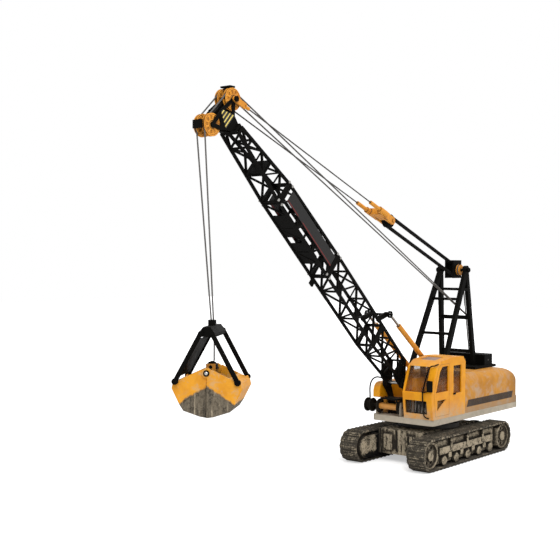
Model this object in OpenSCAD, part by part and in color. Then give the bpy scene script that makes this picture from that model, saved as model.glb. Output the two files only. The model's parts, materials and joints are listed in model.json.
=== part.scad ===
// Toy crawler crane with a lattice boom and a two-shell grab.
// The crane looks along +X, its cab is on the +Y side, and it stands on Z = 0.
// Lengths are millimetres, angles are degrees.

/* [Tracks] */
// Distance between the two wheel centres of a track
wheel_base = 264; // [240:1:290]
// Height of a track over its shoes
track_h = 57; // [54:1:60]
// Width of a belt
belt_w = 35; // [31:1:38]
// Distance between the middles of the two tracks
track_gauge = 139; // [136:1:150]
// Thickness of the belt's band
band_t = 2.2; // [1.6:0.1:3]
// Number of shoes on a belt
shoe_count = 56; // [40:1:60]
// Height of a shoe's plate over the band
shoe_h = 1; // [0.6:0.1:1.4]
// Height of a shoe's rib over its plate
rib_h = 1; // [0.6:0.1:1.6]
// Radius of the wheel axles
axle_r = 3; // [2:0.1:4]

/* [Chassis] */
// Distance from the slewing axis to the chassis's front face
chassis_front = 95; // [80:1:100]
// Height of the chassis's underside over the ground
belly_z = 14; // [10:1:18]
// Height of the chassis's top over the ground
chassis_top = 58; // [56:1:60]
// Outer radius of the slewing ring
ring_r = 56; // [48:1:60]
// Radius of the slewing spindle
spindle_r = 9; // [6:0.5:12]

/* [Deck and house] */
// Distance from the slewing axis to the deck's front edge
deck_front = 92; // [88:1:100]
// Distance from the slewing axis to the deck's rear edge
deck_rear = 238; // [228:1:250]
// Width of the deck
deck_w = 127; // [122:1:136]
// Height of the deck's underside over the ground
deck_z = 71; // [70:1:76]
// Height of the deck's skirt
deck_h = 10.5; // [9:0.5:12]
// Height of the house over the deck
house_h = 70.5; // [66:0.5:76]
// Radius of the house's rounded back
house_back_r = 56; // [40:1:60]
// Wall of the yellow shells
wall = 2.4; // [1.8:0.1:3]

/* [Cab] */
// Length of the cab along the deck
cab_len = 115; // [110:1:118]
// Width of the cab
cab_w = 59; // [54:1:60]
// Height of the cab over the deck
cab_h = 107; // [98:1:114]

/* [Boom] */
// Angle of the boom above level
boom_angle = 42; // [38:1:48]
// Distance from the foot pin to the head axle along the boom
boom_len = 640; // [600:1:680]
// Width of the boom over its side faces
boom_w = 36; // [33:1:38]
// Depth of the boom in its middle part
boom_depth = 49; // [42:1:52]
// Thickness of a chord
chord_t = 4.6; // [3.6:0.1:5.4]
// Thickness of a lacing bar
lace_t = 2.6; // [2:0.1:3.4]
// Offset of the boom's plane from the slewing axis
boom_y = -25; // [-27:0.5:-24]
// Distance from the slewing axis to the foot pin
foot_x = 75.5; // [72:0.5:80]
// Height of the foot pin over the ground
foot_z = 140; // [134:1:146]
// Radius of the foot pin
foot_pin_r = 3; // [2.4:0.1:3.4]

/* [Ropes and sheaves] */
// Radius of the head and nose sheaves over their rims
sheave_r = 16.5; // [14:0.5:17.5]
// Width of a head or nose sheave
sheave_w = 6; // [5:0.5:7]
// Radius of the head, nose and gantry axles
pin_r = 2.5; // [2:0.1:3]
// Radius of a hoist rope
rope_r = 0.8; // [0.6:0.1:1]
// Radius of a pendant rope
pendant_r = 1.1; // [0.8:0.1:1.4]
// Radius of a luffing sheave to its rope
luff_r = 10; // [8:0.5:10.5]
// Distance from the gantry axle to the spreader's axle
falls_len = 250; // [220:1:280]

/* [Gantry] */
// Distance from the slewing axis back to the gantry axle
gantry_x = 131; // [124:1:136]
// Height of the gantry axle over the ground
gantry_z = 343; // [320:1:370]
// Width of the gantry at its axle
gantry_top_w = 56; // [54:1:60]
// Width of the gantry at its feet
gantry_foot_w = 71; // [66:1:73]
// Width of a gantry leg
leg_w = 10.5; // [8:0.5:11]

/* [Backstops] */
// Radius of a backstop's barrel
barrel_r = 4.6; // [3.8:0.1:4.8]
// Radius of a backstop's rod
rod_r = 2.4; // [1.6:0.1:2.6]

/* [Grab] */
// Turn of the grab about its ropes
grab_turn = 31; // [0:1:45]
// Height of the grab's arm pins over the ground
grab_z = 258; // [230:1:300]
// Width of the shells along their hinge
shell_w = 75; // [68:1:86]
// Reach of a shell from the hinge to its outer corner
shell_reach = 48; // [44:1:52]
// Height of a shell from the hinge to its lip
shell_depth = 62; // [58:1:68]
// Drop from the arm pins to the shells' hinge
hinge_drop = 55; // [52:1:60]
// Thickness of the shells' plates
plate_t = 2.4; // [1.8:0.1:2.6]

/* [Hidden] */
$fn = 48;

// Colours
yellow = "#e8a020";
black = "#1c1b1a";
mud = "#8a8072";
dusty = "#b0a796";
steel = "#b8b8b8";
rope_grey = "#4a4a48";
iron = "#55534f";

// Play of a shaft in its bore, and air between pieces that only pass each other
play = 0.05;
air = 0.4;

// Tracks
track_r = track_h / 2;
band_r = track_r - rib_h - shoe_h;
band_in_r = band_r - band_t;
wheel_r = band_in_r - air;
belt_in = track_gauge / 2 - belt_w / 2;
belt_out = track_gauge / 2 + belt_w / 2;
frame_in = belt_in - 5;
frame_plate_t = 9;
wheel_in = frame_in + frame_plate_t + 1;
wheel_out = belt_out - 3;
frame_out = belt_out - 7;
frame_half_len = wheel_base / 2 - wheel_r - 3;
shoe_len = 9.4;
rib_len = 2;
belt_len = 2 * wheel_base + 2 * PI * band_r;

// Chassis and slewing
chassis_rear = 90;
chassis_wall = 3;
ring_top = chassis_top + (deck_z - chassis_top) * 0.6;
ring_in_r = ring_r - 12;
deck_top = deck_z + deck_h;
drive_len = 54;
drive_w = 32;
drive_shaft_in = 12;
deck_bays = 5;

// House and cab
house_front = 24;
house_edge_r = 20;
house_right_r = 5;
house_corner_r = 12;
lip_out = 3;
lip_h = 12;
lip_len = 30;
house_rear = deck_rear + 2;
house_w = deck_w - 3;
house_top = deck_top + house_h;
shoulder_front = 4;
side_box_r = 16;
cab_rear = -23;
cab_front = cab_rear + cab_len;
stop_y = 24;
cab_gap = barrel_r + 0.9;
cab_right = boom_y + stop_y + cab_gap;
cab_left = cab_right + cab_w;
cab_top = deck_top + cab_h;
cab_chin = 6;
cab_chin_z = deck_top + cab_h * 0.434;
cab_brow = 12;
cab_brow_z = deck_top + cab_h * 0.855;
cab_roof = 29;
cab_roof_z = deck_top + cab_h * 0.95;

// Roof plate, hood and drums
roof_plate_t = 5;
roof_plate_top = house_top + roof_plate_t;
hood_back = 192;
hood_sill = 12;
hood_front = 160;
hood_left = boom_y + 55;
hood_right = boom_y - 29;
hood_h = 21;
hood_top = roof_plate_top + hood_h;
hood_wall = 2;
drum_x = -(hood_back + hood_front) / 2;
drum_z = roof_plate_top + 9.5;
drum_r = 5;
drum_flange_r = 8.5;
drum_shaft_r = 2;
drum_split_y = boom_y + 17;

// Boom: places along the boom are measured from the foot pin, heights from the boom's own line
head_a = boom_len;
head_h = 31;
nose_a = boom_len + 5;
nose_h = -29;
lower_a = 20;
swell_a = 122;
joint1_a = 302;
joint2_a = 470;
top_a = boom_len - 35;
front_foot = -3.5;
front_mid = -13;
back_mid = front_mid + boom_depth;
back_joint2 = back_mid - 4.5;
front_joint2 = front_mid + 1;
front_top = -3;
back_top = 12;
face_t = 3.4;
section_gap = 0.8;
plate_in = 12;

function on_boom(a, h) = [
    foot_x + a * cos(boom_angle) - h * sin(boom_angle),
    foot_z + a * sin(boom_angle) + h * cos(boom_angle)
];
function at_y(p, y) = [p[0], y, p[1]];

head = on_boom(head_a, head_h);
nose = on_boom(nose_a, nose_h);
apex = [-gantry_x, gantry_z];

// Luffing line from the gantry axle to the head axle
line_angle = atan2(head[1] - apex[1], head[0] - apex[0]);
line_len = norm(head - apex);
pack_half = 6.1;
strand_y = [-4.5, -1.5, 1.5, 4.5];
falls_r = 0.7;
clevis_len = 26;
clevis_in = 13;
clevis_t = 3.2;
clevis_y = clevis_in + clevis_t / 2;
prong_len = 82;
prong_y = 13.5;
prong_r = 3.4;
sleeve_r = 5.4;
sleeve_len = 22;

// Sheaves of the head and the nose stand on both sides of a middle web
web_half = 4.6;
sheave_in = web_half + air;
sheave_y = sheave_in + sheave_w / 2;
groove_r = sheave_r - 4.4;
pitch_r = groove_r + rope_r + 0.1;
head_arm_r = 2.8;
arm_far = clevis_in - air;
head_guard = [11, 19, 2.4];
nose_guard = [2.8, 17, 12];
guard_gap = 0.8;

// Guide bar of the hoist ropes on the gantry, and the rope's way into the hood
guide_z = 250;
guide_r = 4;
guide = [-gantry_x - 13, guide_z];
tail_y = [boom_y + 22, boom_y + 24];
lead_y = boom_y + 14.5;
lead_in_r = 7.8;
lead_out_r = 10.4;
guide_rope_r = guide_r + rope_r + 0.1;
hoist_split = 0.06;
hoist_turn = atan2(head[1] - guide[1], head[0] - guide[0])
    + asin((pitch_r - guide_rope_r) / norm(head - guide));
hoist_out = [-sin(hoist_turn), cos(hoist_turn)];
tail_turn = atan2(guide[1] - drum_z, guide[0] - drum_x)
    + asin((guide_rope_r - drum_r - rope_r) / norm([guide[0] - drum_x, guide[1] - drum_z]));
tail_out = [-sin(tail_turn), cos(tail_turn)];
lead_pitch_r = lead_in_r + rope_r + 0.1;
lead_turn = atan2(apex[1] - drum_z, apex[0] - drum_x)
    + asin((lead_pitch_r - drum_r - rope_r) / norm([apex[0] - drum_x, apex[1] - drum_z]));
lead_out = [-sin(lead_turn), cos(lead_turn)];

// Backstops: lower pins on the house's shoulder, upper pins on the boom
stop_foot = [-12, house_top + 7];
stop_a = 126;
stop_h = back_mid + 20;
stop_top = on_boom(stop_a, stop_h);
stop_angle = atan2(stop_top[1] - stop_foot[1], stop_top[0] - stop_foot[0]);
stop_len = norm(stop_top - stop_foot);
stop_pin_r = 2;
stop_eye_r = 4.2;
stop_neck = 8;
stop_neck_r = 3.6;
barrel_len = stop_len - 35;
rod_in = 60;

// Inner pieces, which stand on the deck
weight_len = 42;
weight_w = 96;
weight_h = 22;
weight_gap = 6;
pack_len = 66;
pack_w = 44;
pack_h = 20;
pack_x = -150;
pack_y = 8;
receiver_edge = 8;
receiver_h = 9;
aerial_h = 29;
aerial_r = 0.8;
gearbox_h = [24, 30];
gearbox_len = [30, 22];
gearbox_w = [26, 36];
gearbox_x = [-76, -180];
gearbox_y = [boom_y - 9, boom_y - 15];
motor_r = [9, 10];
motor_h = [22, 16];

// Front winch and cable reel
winch_x = 84;
winch_z = deck_top + 15.5;
winch_flange_r = 12.5;
winch_drum_r = 6;
winch_left = boom_y + 18;
winch_right = boom_y - 28;
winch_shaft_r = 2;
reel_in = -deck_w / 2 - 2.5;
reel_out = reel_in - 13;

// Grab: places are measured from the middle of the ropes
hang_x = nose[0] + pitch_r;
sway_x = -11;
sway_y = 14.5;
grab_x = hang_x + sway_x;
grab_y = boom_y + sway_y;
hinge_z = grab_z - hinge_drop;
arm_top_v = 8;
arm_pin_v = shell_reach - 4;
arm_pin_z = hinge_z - 12;
arm_pin_r = 2;
arm_slack = 1.8;
arm_eye_r = arm_pin_r + arm_slack + 0.8;
arm_washer_r = 4.4;
shell_corner = shell_reach + 2;
arm_w = 6.5;
arm_t = 2.6;
arm_washer_t = 1;
arm_in = shell_w / 2 + 0.6;
inner_cheek = shell_w / 2 - plate_t - air;
hinge_pin_r = 3;
rope_foot_z = grab_z + 17;
rope_foot_y = 2.2;
head_half = 12;
head_low = 5;
head_ridge = 9;
ridge_half = 5;
web_t = 2.2;
web_from = 0.13;
web_to = 0.9;
block_sheave_r = 7.5;
block_sheave_z = 6;
block_half_u = 9;
block_half_v = 7;
block_low = 6;
block_slot = 4;
closing_v = 3;

// Cable from the reel to the boom foot bracket
cable_r = 1.3;
cable_route = [
    [86, -72, 109], [86.5, -72, 117], [87, -72, 125], [86.5, -71.5, 133], [85, -70, 140],
    [82.5, -67, 145], [79.5, -62.5, 147.5], [77, -57.5, 147.2], [75.5, -53, 146.6], [75.5, -49, 146.6]
];

// Rear and front ends of the whole crane, which set the origin in the middle of its box
crane_rear = house_rear + lip_out;
function grab_front(u, v) = grab_x + u * cos(grab_turn) + v * sin(grab_turn);
crane_front = max(
    grab_front(shell_w / 2, shell_corner),
    grab_front(arm_in + arm_t, arm_pin_v + arm_eye_r),
    grab_front(arm_in + arm_t + air / 2 + arm_washer_t, arm_pin_v + arm_washer_r)
);
mid_x = (crane_front - crane_rear) / 2;

// Shared shapes

module placed() {
    translate([-mid_x, 0, 0]) children();
}

// Rod from one point to another
module rod(p, q, r) {
    d = q - p;
    translate(p)
        rotate([0, acos(d[2] / norm(d)), atan2(d[1], d[0])])
            cylinder(r = r, h = norm(d), $fn = 24);
}

// Cylinder along Y, from y0 to y1, round the point p of the XZ plane
module cross_rod(p, y0, y1, r) {
    translate([p[0], y1, p[1]]) rotate([90, 0, 0]) cylinder(r = r, h = y1 - y0);
}

// Plate drawn in the XZ plane, from y0 to y1
module side_plate(y0, y1) {
    translate([0, y1, 0]) rotate([90, 0, 0]) linear_extrude(y1 - y0) children();
}

module box(x0, x1, y0, y1, z0, z1) {
    translate([x0, y0, z0]) cube([x1 - x0, y1 - y0, z1 - z0]);
}

// Flat bar between two points of a plane
module bar(p, q, t) {
    n = [p[1] - q[1], q[0] - p[0]] / norm(q - p) * t / 2;
    polygon([p + n, q + n, q - n, p - n]);
}

// Flat link with round ends between two points of a plane
module link(p, q, r) {
    bar(p, q, 2 * r);
    translate(p) circle(r);
    translate(q) circle(r);
}

// Rectangle with rounded corners
module rounded_rect(x0, x1, y0, y1, r) {
    translate([x0 + r, y0]) square([x1 - x0 - 2 * r, y1 - y0]);
    translate([x0, y0 + r]) square([x1 - x0, y1 - y0 - 2 * r]);
    for (x = [x0 + r, x1 - r], y = [y0 + r, y1 - r])
        translate([x, y]) circle(r);
}

// Corners of a convex outline, moved inwards by d; the outline runs anticlockwise
function edge_in(p, q, d) = [q[1] - p[1], p[0] - q[0]] / norm(q - p) * -d;
function meet(p, u, q, v) =
    p + u * ((q[0] - p[0]) * v[1] - (q[1] - p[1]) * v[0]) / (u[0] * v[1] - u[1] * v[0]);
function inset(pts, d) = [
    for (i = [0 : len(pts) - 1])
        let (a = pts[(i + len(pts) - 1) % len(pts)], b = pts[i], c = pts[(i + 1) % len(pts)])
            meet(a + edge_in(a, b, d), b - a, b + edge_in(b, c, d), c - b)
];

// Grooved wheel on the Y axis, from y0 to y1
module sheave(p, y0, y1, rim_r, root_r, bore_r) {
    w = y1 - y0;
    lip = w * 0.12;
    translate([p[0], y1, p[1]]) rotate([90, 0, 0])
        rotate_extrude()
            polygon([
                [bore_r, 0], [rim_r, 0], [rim_r, lip], [root_r, w * 0.34], [root_r, w * 0.66],
                [rim_r, w - lip], [rim_r, w], [bore_r, w]
            ]);
}

// Pack of grooved wheels, one groove for each strand of the luffing falls
module sheave_pack(p) {
    pitch = strand_y[1] - strand_y[0];
    root = luff_r - pendant_r - 0.1;
    rim = luff_r + 1.5;
    for (s = strand_y)
        sheave(p, boom_y + s - pitch / 2, boom_y + s + pitch / 2, rim, root, pin_r + play);
}

// Tube swept along a list of points; each ring stands square to the route
function unit(v) = v / norm(v);
function way(pts, i) = unit(pts[min(i + 1, len(pts) - 1)] - pts[max(i - 1, 0)]);
function ring_points(c, t, r, sides) =
    let (u = unit(cross(t, [1, 0, 0])), v = cross(t, u))
        [for (k = [0 : sides - 1]) c + r * (cos(360 * k / sides) * u + sin(360 * k / sides) * v)];
module tube(pts, r, sides) {
    n = len(pts);
    rings = [for (i = [0 : n - 1]) each ring_points(pts[i], way(pts, i), r, sides)];
    walls = [
        for (i = [0 : n - 2], k = [0 : sides - 1])
            let (a = i * sides + k, b = i * sides + (k + 1) % sides)
                each [[a, b, b + sides], [a, b + sides, a + sides]]
    ];
    first_cap = [for (k = [1 : sides - 2]) [0, k + 1, k]];
    last = (n - 1) * sides;
    last_cap = [for (k = [1 : sides - 2]) [last, last + k, last + k + 1]];
    polyhedron(points = rings, faces = concat(walls, first_cap, last_cap));
}

// Undercarriage

module stadium(r) {
    translate([-wheel_base / 2, -r]) square([wheel_base, 2 * r]);
    for (x = [-wheel_base / 2, wheel_base / 2]) translate([x, 0]) circle(r);
}

// Place and turn of a point at the distance d round the belt, from the front of the lower run
function belt_place(d) =
    let (half = PI * band_r)
        d < wheel_base ? [wheel_base / 2 - d, -band_r, 180] :
        d < wheel_base + half ?
            let (t = (d - wheel_base) / band_r * 180 / PI)
                [-wheel_base / 2 - band_r * sin(t), -band_r * cos(t), 180 - t] :
        d < 2 * wheel_base + half ? [d - wheel_base * 1.5 - half, band_r, 0] :
            let (t = (d - 2 * wheel_base - half) / band_r * 180 / PI)
                [wheel_base / 2 + band_r * sin(t), band_r * cos(t), -t];

module shoe() {
    translate([-shoe_len / 2, -band_t / 2]) square([shoe_len, shoe_h + band_t / 2]);
    translate([-rib_len / 2, 0]) square([rib_len, shoe_h + rib_h]);
}

module belt_outline() {
    difference() {
        stadium(band_r);
        stadium(band_in_r);
    }
    for (i = [0 : shoe_count - 1]) {
        p = belt_place((i + 0.5) * belt_len / shoe_count);
        translate([p[0], p[1]]) rotate(p[2]) shoe();
    }
}

module belt() {
    color(mud) translate([0, 0, track_r]) side_plate(belt_in, belt_out) belt_outline();
}

// The frame carries the idler's axle, and moulded rollers on its outer face
module track_frame() {
    color(mud) translate([0, 0, track_r]) {
        difference() {
            side_plate(frame_in, frame_in + frame_plate_t) stadium(wheel_r * 0.78);
            cross_rod([-wheel_base / 2, 0], frame_in - 1, wheel_in, axle_r + play);
        }
        box(-frame_half_len, frame_half_len, frame_in + frame_plate_t - 1, frame_out - 3,
            -wheel_r * 0.82, wheel_r * 0.82);
        box(-frame_half_len + 8, frame_half_len - 8, frame_out - 4, frame_out + 1, -4, 8);
        cross_rod([wheel_base / 2, 0], frame_in + 1, wheel_out - 4, axle_r);
        roller_r = wheel_r * 0.34;
        for (k = [-2 : 2])
            cross_rod([k * frame_half_len * 0.4, roller_r - band_in_r + 0.7], frame_out - 5,
                frame_out + 3, roller_r);
        carrier_r = wheel_r * 0.2;
        carrier_z = band_in_r - carrier_r - 0.7;
        for (k = [-1 : 1]) {
            x = k * frame_half_len * 0.55;
            cross_rod([x, carrier_z], frame_out - 5, frame_out + 3, carrier_r);
            box(x - carrier_r * 0.6, x + carrier_r * 0.6, frame_out - 4, frame_out + 2, 0, carrier_z);
        }
        for (k = [-1.5 : 1 : 1.5])
            box(k * frame_half_len * 0.4 - 5, k * frame_half_len * 0.4 + 5, frame_out - 4, frame_out + 2,
                -wheel_r * 0.5, -3);
    }
}

// Wheel body with a dished outer face and a ring of holes
module wheel_body(holes) {
    hub_r = wheel_r * 0.36;
    dish_r = wheel_r * 0.84;
    difference() {
        cross_rod([0, 0], wheel_in, wheel_out, wheel_r);
        difference() {
            cross_rod([0, 0], wheel_out - 4, wheel_out + 1, dish_r);
            cross_rod([0, 0], wheel_out - 5, wheel_out + 2, hub_r);
        }
        for (k = [0 : holes - 1])
            rotate([0, k * 360 / holes, 0])
                cross_rod([wheel_r * 0.6, 0], wheel_in - 1, wheel_out, wheel_r * 0.13);
    }
}

module sprocket() {
    color(iron) translate([-wheel_base / 2, 0, track_r]) {
        wheel_body(8);
        cross_rod([0, 0], frame_in - drive_shaft_in, wheel_in + 1, axle_r);
    }
}

module idler() {
    color(iron) translate([wheel_base / 2, 0, track_r])
        difference() {
            wheel_body(6);
            cross_rod([0, 0], wheel_in - 1, wheel_out - 3.6, axle_r + play);
        }
}

module drive_unit() {
    x0 = -wheel_base / 2 - 16;
    difference() {
        union() {
            box(x0, x0 + drive_len, frame_in - drive_w, frame_in, belly_z + 2, chassis_top - 12);
            translate([x0 + 20, frame_in - drive_w + 12, chassis_top - 14]) cylinder(r = 9, h = 8);
        }
        cross_rod([-wheel_base / 2, track_r], frame_in - drive_shaft_in - 1, frame_in + 1, axle_r + play);
    }
}

module drive_units() {
    color(black) {
        drive_unit();
        mirror([0, 1, 0]) drive_unit();
    }
}

module chassis() {
    color(mud) difference() {
        union() {
            box(-chassis_rear, chassis_front, -frame_in, frame_in, belly_z, chassis_top);
            for (y = [-1, 1])
                box(chassis_front - 2, chassis_front + 6, y * frame_in * 0.5 - 9, y * frame_in * 0.5 + 9,
                    belly_z + 8, chassis_top - 8);
        }
        bay = (chassis_front + chassis_rear - chassis_wall) / 3;
        for (k = [0 : 2], side = [-1, 1]) {
            x0 = -chassis_rear + chassis_wall + k * bay;
            y0 = side * frame_in / 2;
            half = frame_in / 2 - chassis_wall;
            box(x0, x0 + bay - chassis_wall, y0 - half, y0 + half, belly_z - 1, chassis_top - chassis_wall);
        }
        translate([0, 0, belly_z]) cylinder(r = spindle_r + play, h = chassis_top);
    }
}

module slew_ring() {
    color(black) difference() {
        translate([0, 0, chassis_top]) cylinder(r = ring_r, h = ring_top - chassis_top, $fn = 96);
        translate([0, 0, chassis_top - 1]) cylinder(r = ring_in_r, h = ring_top, $fn = 96);
    }
}

// Deck and house

module deck() {
    skirt = 3;
    top_t = 4;
    color(dusty) {
        difference() {
            translate([0, 0, deck_z]) linear_extrude(deck_h)
                rounded_rect(-deck_rear, deck_front, -deck_w / 2, deck_w / 2, 8);
            bay = (deck_rear + deck_front - skirt) / deck_bays;
            half = deck_w / 4 - 2 * skirt;
            difference() {
                for (k = [0 : deck_bays - 1], side = [-1, 1]) {
                    x0 = -deck_rear + 2 * skirt + k * bay;
                    y0 = side * deck_w / 4;
                    box(x0, x0 + bay - 3 * skirt, y0 - half, y0 + half, deck_z - 1, deck_top - top_t);
                }
                translate([0, 0, deck_z - 2]) cylinder(r = ring_r - 6, h = deck_h + 4);
            }
        }
        translate([0, 0, ring_top + air]) cylinder(r = ring_r - 6, h = deck_z - ring_top);
        translate([0, 0, chassis_top - 8]) cylinder(r = spindle_r, h = deck_z - chassis_top + 8);
    }
}

// Outline of the house from the side, with its back rounded
module house_outline(inner) {
    rear = -house_rear + inner;
    top = house_top - inner;
    r = house_back_r - inner;
    translate([rear + r, deck_top]) square([house_rear - inner - r - house_front - inner, top - deck_top]);
    translate([rear, deck_top]) square([r + 1, top - deck_top - r]);
    translate([rear + r, top - r]) circle(r, $fn = 96);
}

module house_body(inner) {
    intersection() {
        side_plate(-house_w / 2 + inner, house_w / 2 - inner) house_outline(inner);
        translate([0, 0, deck_top - (inner > 0 ? 1 : 0)]) linear_extrude(house_h + 2)
            rounded_rect(-house_rear + inner, -house_front - inner, -house_w / 2 + inner,
                house_w / 2 - inner, house_corner_r - inner);
        translate([-house_rear - 1, 0, 0]) rotate([90, 0, 90]) linear_extrude(house_rear)
            rounded_rect(-house_w, house_w / 2 - inner, deck_z - house_h, house_top - inner,
                house_edge_r - inner);
        translate([-house_rear - 1, 0, 0]) rotate([90, 0, 90]) linear_extrude(house_rear)
            rounded_rect(-house_w / 2 + inner, house_w, deck_z - house_h, house_top - inner,
                house_right_r - inner);
    }
}

// Lugs with pins that carry the lower ends of the backstops
module stop_lug(side) {
    y = boom_y + side * stop_y;
    y_in = y - side * 7;
    difference() {
        union() {
            side_plate(min(y_in, y_in + side * 3), max(y_in, y_in + side * 3))
                link([stop_foot[0], house_top - 2], stop_foot, 5);
            cross_rod(stop_foot, min(y_in, y + side * 3.8), max(y_in, y + side * 3.8), stop_pin_r);
        }
        box(-60, 40, -deck_w, deck_w, deck_top, house_top - wall);
    }
}

// Lip round the foot of the house's back
module rear_lip() {
    translate([0, 0, deck_top]) linear_extrude(lip_h)
        rounded_rect(-house_rear - lip_out, -house_rear + lip_len, -house_w / 2, house_w / 2,
            house_corner_r);
}

module house() {
    color(yellow) {
        difference() {
            union() {
                house_body(0);
                rear_lip();
                box(-house_front - wall, -shoulder_front, -house_w / 2, cab_right - air, deck_top, house_top);
            }
            house_body(wall);
            box(-house_front - 2 * wall, -shoulder_front - wall, -house_w / 2 + wall,
                cab_right - air - wall, deck_top - 1, house_top - wall);
        }
        stop_lug(-1);
        stop_lug(1);
    }
}

// Box along the right side; its front part overhangs the cable reel's shaft
module side_box() {
    left = boom_y - 23.6;
    front = deck_front - 2;
    notch = winch_x - winch_flange_r - 6;
    top = deck_top + 58;
    rear = -shoulder_front + air;
    color(yellow) side_plate(-deck_w / 2 + 0.5, left) difference() {
        union() {
            translate([rear, deck_top]) square([front - side_box_r - rear, top - deck_top]);
            translate([rear, deck_top]) square([front - rear, top - side_box_r - deck_top]);
            translate([front - side_box_r, top - side_box_r]) circle(side_box_r);
        }
        translate([notch, deck_top - 1]) square([front, winch_z + winch_flange_r + 4 - deck_top]);
    }
}

module counterweight() {
    rear = -house_rear + weight_gap;
    color(iron) box(rear, rear + weight_len, -weight_w / 2, weight_w / 2, deck_top, deck_top + weight_h);
}

// Battery box with the receiver's box clipped on it
module power_pack() {
    low = deck_top + pack_h;
    high = low + receiver_h;
    corner = [pack_x + pack_len - 2 * receiver_edge, pack_y + pack_w - 2 * receiver_edge, high];
    color("#3c6ea0") {
        box(pack_x, pack_x + pack_len, pack_y, pack_y + pack_w, deck_top, low);
        box(pack_x + receiver_edge, pack_x + pack_len - receiver_edge, pack_y + receiver_edge,
            pack_y + pack_w - receiver_edge, low, high);
        rod(corner, corner + [0, 0, aerial_h], aerial_r);
    }
}

// Slewing motor near the spindle, and the motor of the drums further back
module motors() {
    color(steel)
        for (k = [0, 1]) {
            x0 = gearbox_x[k];
            y0 = gearbox_y[k];
            box(x0, x0 + gearbox_len[k], y0, y0 + gearbox_w[k], deck_top, deck_top + gearbox_h[k]);
            translate([x0 + gearbox_len[k] / 2, y0 + gearbox_w[k] / 2, deck_top + gearbox_h[k]])
                cylinder(r = motor_r[k], h = motor_h[k]);
        }
}

// Cab

function cab_outline() = [
    [cab_rear, deck_top], [cab_front, deck_top], [cab_front + cab_chin, cab_chin_z],
    [cab_front - cab_brow, cab_brow_z], [cab_front - cab_roof, cab_roof_z],
    [cab_front - cab_roof - 43, cab_top], [cab_rear + 8, cab_top - 1.5], [cab_rear, cab_top - 11]
];

// Openings of the cab's side walls: door window, rear window and the corner pane at the foot
module side_windows() {
    low = deck_top + cab_h * 0.44;
    high = deck_top + cab_h * 0.86;
    door_rear = cab_front - 53;
    difference() {
        polygon([
            [door_rear, low], [cab_front - 10, low], [cab_front - 24, high - 8], [cab_front - 32, high],
            [door_rear, high]
        ]);
        polygon([[cab_front - 27, high + 1], [cab_front - 15, high - 16], [cab_front, high]]);
    }
    translate([cab_rear + 15, deck_top + cab_h * 0.38]) square([29, cab_h * 0.47]);
    foot = deck_top + cab_h * 0.31;
    polygon([[cab_front - 15, foot], [cab_front - 46, foot], [cab_front - 15, deck_top + cab_h * 0.125]]);
}

module cab_shell() {
    color(yellow) difference() {
        side_plate(cab_right, cab_left) polygon(cab_outline());
        side_plate(cab_right + wall, cab_left - wall) polygon(inset(cab_outline(), wall));
        box(cab_rear + wall, cab_front - wall, cab_right + wall, cab_left - wall, deck_top - 1, deck_top + 8);
        side_plate(cab_right - 1, cab_left + 1) side_windows();
        box(cab_front - 40, cab_front + 20, cab_right + 4, cab_left - 13, deck_top + cab_h * 0.45,
            deck_top + cab_h * 0.86);
        box(cab_front - 20, cab_front + 20, cab_right + 4, cab_left - 11, deck_top + cab_h * 0.09,
            deck_top + cab_h * 0.31);
        box(cab_rear - 1, cab_rear + 10, cab_right + 8, cab_left - 8, house_top + 6, cab_top - 14);
        box(cab_front - cab_roof - 36, cab_front - cab_roof - 4, cab_right + 10, cab_left - 16,
            cab_roof_z - 6, cab_top + 1);
    }
}

module cab_glazing() {
    gap = wall + 0.2;
    glass_t = 1;
    color("#5a4a3c") difference() {
        side_plate(cab_right + gap, cab_left - gap) polygon(inset(cab_outline(), gap));
        side_plate(cab_right + gap + glass_t, cab_left - gap - glass_t)
            polygon(inset(cab_outline(), gap + glass_t));
        box(cab_rear, cab_front, cab_right, cab_left, deck_top - 1, deck_top + 8.5);
    }
}

module cab_seat() {
    mid = (cab_right + cab_left) / 2;
    color(black) {
        box(cab_rear + 24, cab_rear + 60, mid - 16, mid + 16, deck_top, deck_top + 26);
        translate([cab_rear + 26, 0, deck_top + 20]) rotate([0, -8, 0])
            box(0, 8, mid - 14, mid + 14, 0, 48);
        box(cab_front - 26, cab_front - 12, mid - 18, mid + 18, deck_top, deck_top + 36);
        rod([cab_front - 19, mid + 8, deck_top + 35], [cab_front - 26, mid + 8, deck_top + 52], 1.2);
        rod([cab_front - 19, mid - 8, deck_top + 35], [cab_front - 26, mid - 8, deck_top + 52], 1.2);
    }
}

// Wiper rail in front of the windows, mirror and foot rail
module cab_rails() {
    rail_r = 1.2;
    off = rail_r + 0.3;
    route = [
        [cab_front - 16, cab_left + off, cab_brow_z + 6],
        [cab_front - cab_brow + 9, cab_left - 9, cab_brow_z],
        [cab_front + cab_chin + 3, cab_left - 16, cab_chin_z],
        [cab_front + 4, cab_left - 16, deck_top + 7],
        [cab_front + 4, cab_left - 6, deck_top + 3.5]
    ];
    color(black) {
        for (i = [0 : len(route) - 2]) rod(route[i], route[i + 1], rail_r);
        for (p = route) translate(p) sphere(rail_r, $fn = 24);
        box(cab_front + 7.5, cab_front + 10.5, cab_left - 8, cab_left + 4, cab_chin_z + 4, cab_chin_z + 24);
        rod([cab_front + 9, cab_left - 17, cab_chin_z + 2], [cab_front + 9, cab_left - 3, cab_chin_z + 6],
            rail_r);
    }
}

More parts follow.
